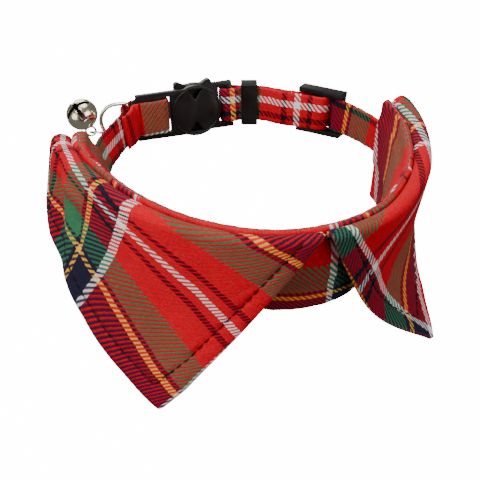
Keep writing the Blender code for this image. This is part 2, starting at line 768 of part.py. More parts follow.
def build_jump_ring(d_ring, material):
    """The jump ring, linked through the D-ring's arc, and the point at the middle of its far wire."""
    away = direction(DROP_BEARING, -DROP_DIP)
    side = away.cross(Vector((0.0, 0.0, 1.0))).normalized()
    side = Matrix.Rotation(math.radians(JUMP_RING_TILT), 3, away) @ side
    half = d_ring_half_height()
    spot = math.radians(JUMP_RING_SPOT)
    reach = (D_RING_DEPTH - half + half * math.cos(spot), 0.0, half * math.sin(spot))
    link = d_ring.matrix_world @ Vector(reach)
    wire = d_ring.matrix_world.to_3x3() @ Vector((-math.sin(spot), 0.0, math.cos(spot)))
    near = ((D_RING_WIRE + JUMP_RING_WIRE) / 2.0 + CLEARANCE) / away.cross(wire).length
    centre = link + away * (JUMP_RING_RADIUS - near)
    points = [(along, across, 0.0) for along, across in circle(JUMP_RING_RADIUS, 14)]
    ring = wire_loop("jump_ring", points, JUMP_RING_WIRE / 2.0, 1, material)
    ring.matrix_world = matrix_from_axes(away, side, away.cross(side), centre)
    return centre + away * JUMP_RING_RADIUS


def add_torus(shape, centre, radius, wire, segments, sides):
    """Adds a ring of round wire that stands in the XZ plane."""
    rings = []
    for level, reach in circle(1.0, segments):
        rings.append([
            Vector(centre) + Vector((reach, 0.0, level)) * (radius + wire / 2.0 * inward)
            + Vector((0.0, wire / 2.0 * across, 0.0))
            for inward, across in circle(1.0, sides)
        ])
    rows = add_rings(shape, rings)
    for index in range(sides):
        beside = (index + 1) % sides
        shape.faces.new((rows[-1][index], rows[-1][beside], rows[0][beside], rows[0][index]))


def build_bell(link, material):
    """The bell: a hollow ball with a cross of slots, and a bail soldered on opposite them."""
    axis = direction(BELL_BEARING, BELL_RISE)
    side = Vector((0.0, 1.0, 0.0)).cross(axis).normalized()
    held = (JUMP_RING_WIRE + BAIL_WIRE) / 2.0 + CLEARANCE
    bail_reach = BELL_RADIUS + BAIL_RADIUS - BELL_WALL / 2.0
    ball = bmesh.new()
    bmesh.ops.create_uvsphere(ball, u_segments=20, v_segments=14, radius=BELL_RADIUS)
    bell = finish_bmesh("bell", ball, material, 60.0)
    bell.matrix_world = matrix_from_axes(
        side, axis.cross(side), axis, link + axis * (BAIL_RADIUS - held + bail_reach))
    bail = bmesh.new()
    add_torus(bail, (0.0, 0.0, -bail_reach), BAIL_RADIUS, BAIL_WIRE, 14, 6)
    apply_boolean(bell, make_cutter("bell_bail", bail), "UNION")
    hollow = bmesh.new()
    bmesh.ops.create_uvsphere(hollow, u_segments=20, v_segments=14, radius=BELL_RADIUS - BELL_WALL)
    apply_boolean(bell, make_cutter("bell_hollow", hollow), "DIFFERENCE")
    tilt = Matrix.Rotation(math.radians(BELL_SLOT_TILT), 4, "X")
    low = BELL_RADIUS * math.cos(math.radians(BELL_SLOT_REACH))
    beyond = BELL_RADIUS * 1.2
    for label, degrees in (("bell_slot", BELL_SLOT_TURN), ("bell_cross_slot", BELL_SLOT_TURN + 90.0)):
        slot = bmesh.new()
        add_box(slot, (-beyond, -BELL_SLOT / 2.0, low), (beyond, BELL_SLOT / 2.0, beyond))
        placing = tilt @ Matrix.Rotation(math.radians(degrees), 4, "Z")
        bmesh.ops.transform(slot, matrix=placing, verts=slot.verts)
        apply_boolean(bell, make_cutter(label, slot), "DIFFERENCE")
    return bell


def clear_scene():
    for item in list(bpy.data.objects):
        bpy.data.objects.remove(item, do_unlink=True)


def main():
    clear_scene()
    neck = NeckLine()
    spots = Layout(neck)
    tartan = make_material("tartan", (0.55, 0.02, 0.03), 0.85, 0.0)
    black = make_material("black_plastic", (0.012, 0.013, 0.012), 0.45, 0.0)
    nickel = make_material("nickel", (0.72, 0.69, 0.62), 0.18, 1.0)
    build_stand(neck, tartan)
    build_lapel(neck, "left_lapel", -1.0, STAND_LEFT, LEFT_BOW, LEFT_FOLD, LEFT_FALL, tartan)
    build_lapel(neck, "right_lapel", 1.0, STAND_RIGHT, RIGHT_BOW, RIGHT_FOLD, RIGHT_FALL, tartan)
    build_strap(neck, spots, tartan)
    build_buckle(neck, spots, black)
    build_keeper(neck, spots, black)
    build_slider(neck, spots, black)
    d_ring = build_d_ring(neck, spots, nickel)
    link = build_jump_ring(d_ring, nickel)
    build_bell(link, nickel)


main()
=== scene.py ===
"""Looks of a tartan cat collar with two shirt-collar points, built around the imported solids.

Lengths are metres. +Z runs up the neck hole's axis, the origin is the middle of the neck hole at the
strap's mid height, and the points of the collar meet at the front, towards -Y. A station is a distance
along the strap's line, counted from the collar's front towards +X.
"""

import logging
import math
from dataclasses import dataclass
from enum import Enum
from typing import Optional, Sequence, Union

import bmesh
import bpy
import numpy as np
from mathutils import Matrix, Vector

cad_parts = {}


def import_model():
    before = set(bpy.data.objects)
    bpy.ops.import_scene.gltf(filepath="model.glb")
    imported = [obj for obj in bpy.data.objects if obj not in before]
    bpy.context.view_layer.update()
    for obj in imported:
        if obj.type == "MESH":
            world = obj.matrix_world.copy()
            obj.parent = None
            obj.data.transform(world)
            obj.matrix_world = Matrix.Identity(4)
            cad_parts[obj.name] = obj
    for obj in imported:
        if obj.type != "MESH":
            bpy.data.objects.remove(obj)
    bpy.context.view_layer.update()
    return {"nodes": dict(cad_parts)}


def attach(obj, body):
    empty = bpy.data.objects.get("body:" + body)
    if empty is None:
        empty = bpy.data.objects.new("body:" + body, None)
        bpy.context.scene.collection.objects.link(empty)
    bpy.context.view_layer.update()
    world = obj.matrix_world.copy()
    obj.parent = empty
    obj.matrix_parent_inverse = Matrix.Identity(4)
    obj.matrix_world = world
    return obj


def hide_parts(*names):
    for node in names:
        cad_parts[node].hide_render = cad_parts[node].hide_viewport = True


LOG = logging.getLogger("cat_collar")
MM = 0.001
MM_PER_METRE = 1000.0
TURN = 2.0 * math.pi
ROOT = "root"
CLOTH_MAP = "cloth"
EDGE_MAP = "edge_distance"
END_STEPS = 4.0  # how many steps in from an end a grid's spacing is drawn together
END_SHRINK = 0.88  # and by which share of a step
HEM_ROUND = 1.15  # a folded hem's rounding, in half thicknesses
RIPPLE_SINES = ((1.0, 1.0, 1.0), (0.6, 0.618, 2.1), (0.4, 1.73, 3.7))  # weight, pace and shift of each
STITCH_SIDES = 6
STITCH_CAPS = ((0, [0, 1, 2, 3]), (0, [3, 4, 5, 0]), (-1, [3, 2, 1, 0]), (-1, [0, 5, 4, 3]))  # row, corners
Number = Union[float, "Wire"]
Paint = Union[tuple, "Wire"]


class Slot(Enum):
    """The record's material slots."""

    TARTAN = "tartan"
    PLASTIC = "black_plastic"
    NICKEL = "nickel"


def smooth_step(value: np.ndarray) -> np.ndarray:
    """Rises smoothly from 0 to 1 as the value does."""
    value = np.clip(value, 0.0, 1.0)
    return value * value * (3.0 - 2.0 * value)


def hermite(where: np.ndarray, knots: np.ndarray, values: np.ndarray) -> np.ndarray:
    """A cubic through the values, with the slope of each knot's neighbours.

    Args:
        where: the places to read the curve at.
        knots: rising places of the values.
        values: the values at the knots.

    Returns:
        The curve's value at each place.
    """
    slopes = np.gradient(values, knots)
    index = np.clip(np.searchsorted(knots, where) - 1, 0, len(knots) - 2)
    width = knots[index + 1] - knots[index]
    share = np.clip((where - knots[index]) / width, 0.0, 1.0)
    start = (1.0 + 2.0 * share) * (1.0 - share) ** 2 * values[index]
    end = share**2 * (3.0 - 2.0 * share) * values[index + 1]
    start_slope = share * (1.0 - share) ** 2 * width * slopes[index]
    end_slope = share**2 * (share - 1.0) * width * slopes[index + 1]
    return start + end + start_slope + end_slope


def periodic(angles: np.ndarray, knots: np.ndarray, values: np.ndarray) -> np.ndarray:
    """The same cubic closed round a full turn of angles.

    Args:
        angles: the angles to read the curve at, in radians.
        knots: rising angles of the values within one turn.
        values: the values at the knots.

    Returns:
        The curve's value at each angle.
    """
    knots = np.concatenate([knots - TURN, knots, knots + TURN, knots + 2.0 * TURN])
    return hermite(angles, knots, np.tile(values, 4))


def spaced(count: int, tight_start: bool = True, tight_end: bool = True) -> np.ndarray:
    """Shares from 0 to 1 whose steps shrink towards the ends that are asked for.

    Args:
        count: how many shares.
        tight_start: small steps near 0.
        tight_end: small steps near 1.

    Returns:
        The rising shares.
    """
    place = np.arange(count - 1) + 0.5
    steps = np.ones(count - 1)
    if tight_start:
        steps *= 1.0 - END_SHRINK * np.exp(-((place / END_STEPS) ** 2))
    if tight_end:
        steps *= 1.0 - END_SHRINK * np.exp(-(((count - 1 - place) / END_STEPS) ** 2))
    shares = np.concatenate([[0.0], np.cumsum(steps)])
    return shares / shares[-1]


def unit(vectors: np.ndarray) -> np.ndarray:
    """The vectors scaled to length 1."""
    return vectors / np.maximum(np.linalg.norm(vectors, axis=-1, keepdims=True), 1e-12)


def grid_normals(points: np.ndarray) -> np.ndarray:
    """Unit normals of a grid: the cross product of its column and row directions."""
    return unit(np.cross(np.gradient(points, axis=1), np.gradient(points, axis=0)))


def grid_quads(index: np.ndarray) -> np.ndarray:
    """Quads between neighbouring rows and columns of a grid of vertex numbers."""
    corners = [index[:-1, :-1], index[:-1, 1:], index[1:, 1:], index[1:, :-1]]
    return np.stack(corners, axis=-1).reshape(-1, 4)


def closed(index: np.ndarray) -> np.ndarray:
    """A grid of vertex numbers with its first column again after its last one."""
    return np.concatenate([index, index[:, :1]], axis=1)


def ripple(along: np.ndarray, period: float, seed: float) -> np.ndarray:
    """An uneven wave from -1 to 1: a sum of three sines whose periods don't match."""
    turn = TURN * along / period
    return sum(weight * np.sin(pace * turn + shift * seed) for weight, pace, shift in RIPPLE_SINES) / 2.0


def travelled(points: np.ndarray) -> np.ndarray:
    """Distance along a line of points from its start to each of them."""
    return np.concatenate([[0.0], np.cumsum(np.linalg.norm(np.diff(points, axis=0), axis=1))])


def circle_angles(count: int) -> np.ndarray:
    """Evenly spaced angles round a full turn, in radians."""
    return np.linspace(0.0, TURN, count + 1)[:-1]


def add_mesh(
    name: str,
    points: np.ndarray,
    faces: np.ndarray,
    material: bpy.types.Material,
    cloth: Optional[np.ndarray] = None,
    edge: Optional[np.ndarray] = None,
) -> bpy.types.Object:
    """Makes a shaded object at the origin from whole arrays, with its faces turned outwards.

    Args:
        name: the object's name.
        points: one row of X, Y and Z for each vertex.
        faces: one row of four vertex numbers for each face.
        material: its finish.
        cloth: each vertex's place on the flat cloth, in metres.
        edge: each vertex's distance from the cloth's edge, in metres.

    Returns:
        The new object.
    """
    volume = sum(np.linalg.det(points[faces[:, fan]]).sum() for fan in ((0, 1, 2), (0, 2, 3)))
    if volume < 0.0:
        faces = faces[:, ::-1]
    mesh = bpy.data.meshes.new(name)
    mesh.from_pydata(points.tolist(), [], faces.tolist())
    if cloth is not None:
        layer = mesh.uv_layers.new(name=CLOTH_MAP)
        layer.data.foreach_set("uv", cloth[faces.ravel()].astype(np.float32).ravel())
    if edge is not None:
        values = mesh.attributes.new(EDGE_MAP, "FLOAT", "POINT")
        values.data.foreach_set("value", edge.astype(np.float32))
    mesh.shade_smooth()
    mesh.materials.append(material)
    return add_object(name, mesh)


def add_object(name: str, data: bpy.types.ID) -> bpy.types.Object:
    """Makes an object of some data and links it to the scene.

    Args:
        name: the object's name.
        data: its mesh, light or camera.

    Returns:
        The new object.
    """
    piece = bpy.data.objects.new(name, data)
    bpy.context.scene.collection.objects.link(piece)
    return piece


def enrol(piece: bpy.types.Object, slot: Slot, *nodes: str) -> bpy.types.Object:
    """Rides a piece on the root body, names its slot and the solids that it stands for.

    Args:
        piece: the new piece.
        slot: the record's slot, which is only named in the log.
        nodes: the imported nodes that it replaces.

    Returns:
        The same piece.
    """
    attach(piece, ROOT)
    if nodes:
        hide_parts(*nodes)
    LOG.info("%s: %d faces, slot %s, replaces %s", piece.name, len(piece.data.polygons), slot.value, nodes)
    return piece


# Shader maths


class Wire:
    """A socket in a material, with the operators that add Math nodes."""

    def __init__(self, net: "Net", socket: bpy.types.NodeSocket) -> None:
        """Keeps the net that the socket belongs to."""
        self.net = net
        self.socket = socket

    def math(self, operation: str, *others: Number) -> "Wire":
        """This value and up to two others through one Math node.

        Args:
            operation: the Math node's operation.
            others: the node's further inputs.

        Returns:
            The result.
        """
        inputs = dict(enumerate((self, *others)))
        return self.net.add("ShaderNodeMath", {"operation": operation}, inputs)

    def __add__(self, other: Number) -> "Wire":
        """Sum."""
        return self.math("ADD", other)

    __radd__ = __add__

    def __sub__(self, other: Number) -> "Wire":
        """Difference."""
        return self.math("SUBTRACT", other)

    def __rsub__(self, other: float) -> "Wire":
        """A number less this value."""
        return (self * -1.0) + other

    def __mul__(self, other: Number) -> "Wire":
        """Product."""
        return self.math("MULTIPLY", other)

    def __truediv__(self, other: Number) -> "Wire":
        """Quotient."""
        return self.math("DIVIDE", other)

    def sine(self) -> "Wire":
        """Sine of an angle in radians."""
        return self.math("SINE")

    def rise(self, low: float, high: float) -> "Wire":
        """Rises smoothly from 0 at the low value to 1 at the high one."""
        settings = {"interpolation_type": "SMOOTHSTEP"}
        return self.net.add("ShaderNodeMapRange", settings, {0: self, 1: low, 2: high, 3: 0.0, 4: 1.0})


class Net:
    """A material's node tree and the one way to add nodes to it."""

    def __init__(self, name: str) -> None:
        """Starts an empty material.

        Args:
            name: the material's name.
        """
        self.material = bpy.data.materials.new(name)
        self.material.use_nodes = True
        self.tree = self.material.node_tree
        self.tree.nodes.clear()

    def add(self, kind: str, settings: dict, inputs: dict, output: Union[int, str] = 0) -> Wire:
        """Adds a node.

        Args:
            kind: the node's type.
            settings: its own settings, set first; "stops" holds a ramp's (place, colour) pairs.
            inputs: numbers, colours or wires by socket name or number.
            output: the socket to return.

        Returns:
            The chosen output.
        """
        node = self.tree.nodes.new(kind)
        for key, value in settings.items():
            if key == "stops":
                self.set_stops(node.color_ramp, value)
            elif key == "ramp_interpolation":
                node.color_ramp.interpolation = value
            else:
                setattr(node, key, value)
        for key, value in inputs.items():
            if isinstance(value, Wire):
                self.tree.links.new(value.socket, node.inputs[key])
            else:
                node.inputs[key].default_value = value
        return Wire(self, node.outputs[output])

    @staticmethod
    def set_stops(ramp: bpy.types.ColorRamp, stops: Sequence[tuple]) -> None:
        """Gives a ramp its stops.

        Args:
            ramp: the node's ramp.
            stops: pairs of a place and a colour, rising.
        """
        while len(ramp.elements) < len(stops):
            ramp.elements.new(1.0)
        for element, (place, colour) in zip(ramp.elements, stops):
            element.position = place
            element.color = (*colour, 1.0)

    def mix(self, factor: Number, first: Paint, second: Paint, blend: str = "MIX") -> Wire:
        """Mixes two colours.

        Args:
            factor: 0 for the first colour, 1 for the second.
            first: a colour or a wire.
            second: a colour or a wire.
            blend: how the second lies on the first.

        Returns:
            The mixed colour.
        """
        colours = [value if isinstance(value, Wire) else (*value, 1.0) for value in (first, second)]
        settings = {"data_type": "RGBA", "blend_type": blend}
        return self.add("ShaderNodeMix", settings, {0: factor, 6: colours[0], 7: colours[1]}, 2)

    def noise(self, vector: Wire, scale: float, detail: float = 2.0, roughness: float = 0.5) -> Wire:
        """A cloud of values round 0.5."""
        inputs = {"Vector": vector, "Scale": scale, "Detail": detail, "Roughness": roughness}
        return self.add("ShaderNodeTexNoise", {}, inputs, 0)

    def solid(self) -> Wire:
        """The piece's own coordinates in metres."""
        return self.add("ShaderNodeTexCoord", {}, {}, "Object")

    def finish(
        self,
        surface: dict,
        bump: Optional[Wire] = None,
        distance: float = 0.0001,
        strength: float = 1.0,
    ) -> bpy.types.Material:
        """Ends the material in one Principled BSDF.

        Args:
            surface: the shader's inputs by socket name.
            bump: a height from 0 to 1.
            distance: the height of 1 in metres.
            strength: how much of the bump counts.

        Returns:
            The finished material.
        """
        if bump is not None:
            inputs = {"Height": bump, "Distance": distance, "Strength": strength}
            surface = {**surface, "Normal": self.add("ShaderNodeBump", {}, inputs)}
        shader = self.add("ShaderNodeBsdfPrincipled", {}, surface)
        output = self.tree.nodes.new("ShaderNodeOutputMaterial")
        self.tree.links.new(shader.socket, output.inputs["Surface"])
        return self.material


def linear(red: int, green: int, blue: int) -> tuple:
    """An on-screen colour from 0 to 255 as linear light."""
    shares = np.array((red, green, blue)) / 255.0
    return tuple(np.where(shares <= 0.04045, shares / 12.92, ((shares + 0.055) / 1.055) ** 2.4).tolist())


class Finish:
    """A material that is built under its own name."""

    name: str

    def build(self) -> bpy.types.Material:
        """Makes the material."""
        return self.wire_up(Net(self.name))

    def wire_up(self, net: Net) -> bpy.types.Material:
        """Adds the finish's nodes to an empty material; each finish has its own."""
        raise NotImplementedError


@dataclass(frozen=True)
class Stripe:
    """One stripe of the tartan, by its far edge from the white line's middle, in millimetres."""

    end: float
    colour: tuple


@dataclass(frozen=True)
class Thread:
    """The dyed yarns."""

    red: tuple = (0.62, 0.0, 0.012)
    white: tuple = (1.0, 0.91, 0.90)
    black: tuple = (0.010, 0.006, 0.010)
    navy: tuple = (0.013, 0.011, 0.032)
    green: tuple = (0.040, 0.180, 0.080)
    yellow: tuple = (0.97, 0.50, 0.06)


@dataclass(frozen=True)
class TartanCloth(Finish):
    """Brushed cotton twill woven in a red tartan, its pattern read from the cloth's own map.

    Across the cloth the stripes come from one list, mirrored at its two ends, and down the cloth from
    the same list. Where the twill's diagonal lifts the upright yarns their colour shows, and elsewhere
    the crossing yarns' colour shows. Pitches and lengths here are millimetres.
    """

    name: str = "tartan_twill"
    yarns: Thread = Thread()
    twill: float = 1.48
    yarn_pitch: float = 0.37
    wobble_scale: float = 260.0
    wobble: float = 0.45
    fuzz_scale: float = 1500.0
    patch_scale: float = 90.0
    lift_edge: float = 0.25
    lift_yarn: float = 0.7
    lift_fuzz: float = 0.9
    peeping: float = 0.05
    # Painted shade in the gaps between the yarns: this share of the colour is taken from the darker of the
    # two yarns.
    thread_gap_shade: float = 0.22
    ground: float = 0.80
    yarn_shade: float = 0.16
    groove_shade: float = 0.10
    fuzz_shade: float = 0.65
    patch_shade: float = 0.22
    lint: float = 0.10
    lint_colour: tuple = (0.62, 0.20, 0.20)
    # Painted highlight along the folded hems, also standing for worn threads: near every edge the colour is
    # lightened towards a pale pink.
    hem_highlight_and_wear: float = 0.12
    hem_highlight_reach: tuple = (0.05, 0.50)
    hem_highlight_wear_colour: tuple = (0.75, 0.05, 0.07)
    roughness: float = 0.88
    bump: float = 0.00012
    bump_strength: float = 0.8

    def sett(self) -> tuple:
        """The half pattern from the middle of the white line to the middle of the wide red.

        Returns:
            The stripes in order.
        """
        yarns = self.yarns
        return (
            Stripe(0.95, yarns.white),
            Stripe(3.3, yarns.red),
            Stripe(4.7, yarns.black),
            Stripe(12.0, yarns.red),
            Stripe(19.5, yarns.green),
            Stripe(20.6, yarns.navy),
            Stripe(22.0, yarns.yellow),
            Stripe(27.9, yarns.navy),
            Stripe(29.5, yarns.white),
            Stripe(50.0, yarns.red),
        )

    def stripes(self, net: Net, place: Wire) -> Wire:
        """The yarn's colour at a place across the pattern.

        Args:
            net: the material's nodes.
            place: the place in millimetres.

        Returns:
            The colour.
        """
        sett = self.sett()
        half = sett[-1].end
        starts = [0.0] + [stripe.end for stripe in sett[:-1]]
        stops = [(start / half, stripe.colour) for start, stripe in zip(starts, sett)]
        share = place.math("PINGPONG", half) / half
        return net.add("ShaderNodeValToRGB", {"stops": stops, "ramp_interpolation": "CONSTANT"}, {0: share})

    def wire_up(self, net: Net) -> bpy.types.Material:
        """Weaves the cloth.

        Args:
            net: the empty material's nodes.

        Returns:
            The material.
        """
        cloth = net.add("ShaderNodeUVMap", {"uv_map": CLOTH_MAP}, {})
        wobble = (net.noise(cloth, self.wobble_scale) - 0.5) * self.wobble
        across = net.add("ShaderNodeSeparateXYZ", {}, {0: cloth}, 0) * MM_PER_METRE + wobble
        down = net.add("ShaderNodeSeparateXYZ", {}, {0: cloth}, 1) * MM_PER_METRE - wobble
        warp = self.stripes(net, across)
        weft = self.stripes(net, down)
        ridge = ((across + down) * (TURN / self.twill)).sine()
        fuzz = net.noise(cloth, self.fuzz_scale, 3.0, 0.7)
        upright = (across * (TURN / self.yarn_pitch)).sine() * 0.5 + 0.5
        lifted = ridge + (upright - 0.5) * self.lift_yarn + (fuzz - 0.5) * self.lift_fuzz
        lifted = lifted.rise(-self.lift_edge, self.lift_edge)
        shown = lifted * (1.0 - 2.0 * self.peeping) + self.peeping
        colour = net.mix(shown, weft, warp)
        # Painted shade between the yarns: the darker yarn's colour is mixed in.
        colour = net.mix(self.thread_gap_shade, colour, net.mix(1.0, weft, warp, "DARKEN"))
        crossing = (down * (TURN / self.yarn_pitch)).sine() * 0.5 + 0.5
        yarn = upright * lifted + crossing * (1.0 - lifted)
        groove = 1.0 - ridge * ridge
        patch = net.noise(net.solid(), self.patch_scale, 2.0)
        shade = self.ground + yarn * self.yarn_shade - groove * self.groove_shade
        shade = shade + (fuzz - 0.5) * self.fuzz_shade + (patch - 0.5) * self.patch_shade
        grey = net.add("ShaderNodeCombineXYZ", {}, dict.fromkeys(range(3), shade))
        colour = net.mix(1.0, colour, grey, "MULTIPLY")
        colour = net.mix(fuzz.rise(0.62, 0.85) * self.lint, colour, self.lint_colour)
        # Painted highlight and wear at the hems: within half a millimetre of each edge the colour is
        # lightened towards a pale pink.
        edge = net.add("ShaderNodeAttribute", {"attribute_name": EDGE_MAP}, {}, "Fac")
        hem_highlight_share = (1.0 - (edge * MM_PER_METRE).rise(*self.hem_highlight_reach)) * self.hem_highlight_and_wear
        colour = net.mix(hem_highlight_share, colour, self.hem_highlight_wear_colour)
        height = yarn * 0.35 + lifted * 0.3 + (1.0 - groove) * 0.35 + fuzz * 0.5
        surface = {
            "Base Color": colour,
            "Roughness": self.roughness,
            "Specular IOR Level": 0.08,
            "Sheen Weight": 0.02,
            "Sheen Roughness": 0.5,
        }
        return net.finish(surface, height, self.bump, self.bump_strength)


@dataclass(frozen=True)
class SewingThread(Finish):
    """Dark polyester sewing thread with its twist."""

    name: str = "sewing_thread"
    colour: tuple = linear(9, 5, 8)
    light: tuple = linear(30, 17, 22)
    grain_scale: float = 2600.0
    bump: float = 0.00005

    def wire_up(self, net: Net) -> bpy.types.Material:
        """Spins the thread.

        Args:
            net: the empty material's nodes.

        Returns:
            The material.
        """
        grain = net.noise(net.solid(), self.grain_scale, 2.0)
        colour = net.mix(grain, self.colour, self.light)
        surface = {"Base Color": colour, "Roughness": 0.7, "Specular IOR Level": 0.12}
        return net.finish(surface, grain, self.bump, 0.6)


@dataclass(frozen=True)
class MouldedPlastic(Finish):
    """Black injection-moulded plastic with a fine spark-eroded grain and rubbed patches."""

    name: str = "black_moulding"
    colour: tuple = (0.0024, 0.0028, 0.0024)
    rubbed: tuple = (0.0075, 0.0080, 0.0075)
    grain_scale: float = 5200.0
    cloud_scale: float = 160.0
    roughness: float = 0.40
    bump: float = 0.00003

    def wire_up(self, net: Net) -> bpy.types.Material:
        """Mixes the plastic.

        Args:
            net: the empty material's nodes.

        Returns:
            The material.
        """
        solid = net.solid()
        grain = net.noise(solid, self.grain_scale, 3.0, 0.6)
        cloud = net.noise(solid, self.cloud_scale, 2.0)
        surface = {
            "Base Color": net.mix(cloud.rise(0.35, 0.75), self.colour, self.rubbed),
            "Roughness": self.roughness + (cloud - 0.5) * 0.22 + (grain - 0.5) * 0.1,
            "Specular IOR Level": 0.32,
        }
        return net.finish(surface, grain, self.bump, 0.5)


@dataclass(frozen=True)
class NickelPlate(Finish):
    """Bright nickel plate with a warm cast and fine handling marks."""

    name: str = "nickel_plate"
    colour: tuple = linear(242, 231, 202)
    marked: tuple = linear(176, 166, 142)
    mark_scale: float = 900.0
    roughness: float = 0.16
    bump: float = 0.00001

    def wire_up(self, net: Net) -> bpy.types.Material:
        """Plates the metal.

        Args:
            net: the empty material's nodes.

        Returns:
            The material.
        """
        marks = net.noise(net.solid(), self.mark_scale, 4.0, 0.65)
        surface = {
            "Base Color": net.mix(marks.rise(0.45, 0.8) * 0.5, self.colour, self.marked),
            "Metallic": 1.0,
            "Roughness": self.roughness + marks.rise(0.4, 0.8) * 0.16,
        }
        return net.finish(surface, marks, self.bump, 0.4)


@dataclass(frozen=True)
class DarkInside(Finish):
    """Painted shade for the unlit nickel inside the bell, which is also dulled and brown."""

    name: str = "bell_inside"
    colour: tuple = linear(96, 62, 52)
    shadow: tuple = linear(44, 32, 28)
    mark_scale: float = 700.0

    def wire_up(self, net: Net) -> bpy.types.Material:
        """Darkens the inner wall with painted shade, dulled and brown.

        Args:
            net: the empty material's nodes.

        Returns:
            The material.
        """
        colour = net.mix(net.noise(net.solid(), self.mark_scale, 3.0), self.colour, self.shadow)
        return net.finish({"Base Color": colour, "Metallic": 0.6, "Roughness": 0.5})


# The collar's line


@dataclass
class NeckLine:
    """The strap's closed line in plan, with a leaning frame at each station along it."""

    radius: float = 0.0410
    front_bearing: float = 294.0
    buckle_bearing: float = 108.5
    flat_before: float = 0.0115
    flat_after: float = 0.0162
    ease_before: float = 0.0150
    ease_after: float = 0.0070
    plan: tuple = (
        (0, 0.98), (30, 1.07), (55, 1.10), (85, 1.06), (110, 1.06), (128, 1.07), (150, 1.00),
        (175, 0.93), (205, 0.83), (232, 0.84), (258, 0.93), (285, 1.05), (310, 1.07), (335, 1.00),
    )
    lean: tuple = (
        (0, 15.0), (30, 6.0), (60, 9.0), (110, 10.0), (145, 12.0), (172, 24.0), (205, 22.0), (294, 18.0),
    )
    samples: int = 1441

    def __post_init__(self) -> None:
        """Works out the line, its directions and its lean once."""
        bearings, reaches = np.array(self.plan).T
        front = math.radians(self.front_bearing)
        sweep = front + np.linspace(0.0, TURN, self.samples)
        reach = periodic(sweep, np.radians(bearings), reaches * self.radius)
        curved = np.stack([reach * np.cos(sweep), reach * np.sin(sweep)], axis=-1)
        self.points = self.straighten(curved, sweep)
        self.stations = travelled(self.points)
        self.length = float(self.stations[-1])
        lean_bearings, degrees = np.array(self.lean).T
        self.leans = periodic(sweep, np.radians(lean_bearings), np.radians(degrees))
        tangents = np.gradient(self.points, self.stations, axis=0)
        span = self.stations[1] + self.stations[-1] - self.stations[-2]
        tangents[[0, -1]] = (self.points[1] - self.points[-2]) / span
        self.tangents = unit(tangents)
        self.sweep = sweep

    def straighten(self, points: np.ndarray, sweep: np.ndarray) -> np.ndarray:
        """Lays the line flat along the stiff buckle and eases it back into the curve.

        Args:
            points: the curved line in plan.
            sweep: the bearing of each point, in radians.

        Returns:
            The line with its straight stretch.
        """
        turned = math.radians((self.buckle_bearing - self.front_bearing) % 360.0)
        middle = int(np.argmin(np.abs(sweep - math.radians(self.front_bearing) - turned)))
        travel = travelled(points)
        travel = travel - travel[middle]
        heading = points[middle + 1] - points[middle - 1]
        flat = points[middle] + heading / np.linalg.norm(heading) * travel[:, None]
        weight = smooth_step((travel + self.flat_before) / self.ease_before + 1.0)
        weight = weight * smooth_step((self.flat_after - travel) / self.ease_after + 1.0)
        return points + (flat - points) * weight[:, None]

    def read(self, values: np.ndarray, station: np.ndarray) -> np.ndarray:
        """Interpolates values between their stations.

        Args:
            values: one value or one row of them for each of the line's points.
            station: the stations to read at.

        Returns:
            The values there.
        """
        wrapped = np.mod(station, self.length)
        columns = values.reshape(len(self.stations), -1).T
        result = np.stack([np.interp(wrapped, self.stations, column) for column in columns], axis=-1)
        return result[..., 0] if values.ndim == 1 else result

    def station_at(self, bearing: float) -> float:
        """The station on the side of the loop that a bearing, in degrees, points at."""
        turned = math.radians((bearing - self.front_bearing) % 360.0) + math.radians(self.front_bearing)
        return float(np.interp(turned, self.sweep, self.stations))

    def frame(self, station: np.ndarray) -> tuple:
        """The leaning frame at stations.

        Args:
            station: distances along the line.

        Returns:
            Centre, outward, along, up and level outward vectors.
        """
        station = np.asarray(station, dtype=float)
        centre = self.read(self.points, station)
        tangent = unit(self.read(self.tangents, station))
        lean = self.read(self.leans, station)[..., None]
        zero = np.zeros(lean.shape)
        centre = np.concatenate([centre, zero], axis=-1)
        along = np.concatenate([tangent, zero], axis=-1)
        level = np.concatenate([tangent[..., 1:2], -tangent[..., 0:1], zero], axis=-1)
        rise = np.concatenate([zero, zero, zero + 1.0], axis=-1)
        up = rise * np.cos(lean) + level * np.sin(lean)
        outward = level * np.cos(lean) - rise * np.sin(lean)
        return centre, outward, along, up, level


@dataclass(frozen=True)
class TartanLay:
    """Where the woven pattern lies on a piece's flat cut.

    Sewing and draping pull the cloth a little out of true, so the pattern's coordinates are polynomials
    of the place on the cut: 1, x, y, x2, xy, y2, x3, x2y, xy2, y3. There x and y are counted from the
    middle in units of 40 mm, and the factors are millimetres.
    """

    middle: tuple = (0.0, 0.0)
    across: tuple = (0.0, 40.0, 0.0)
    down: tuple = (0.0, 0.0, 40.0)
    unit: float = 0.040

    def place(self, x: np.ndarray, y: np.ndarray) -> np.ndarray:
        """The pattern's coordinates in metres.

        Args:
            x: places along the cut.
            y: places down the cut.

        Returns:
            One across and down pair for each place.
        """
        x = (x - self.middle[0]) / self.unit
        y = (y - self.middle[1]) / self.unit
        powers = (x**0, x, y, x * x, x * y, y * y, x**3, x * x * y, x * y * y, y**3)
        pair = [
            sum(factor * power for factor, power in zip(factors, powers)) * MM
            for factors in (self.across, self.down)
        ]
        return np.stack(pair, axis=-1)


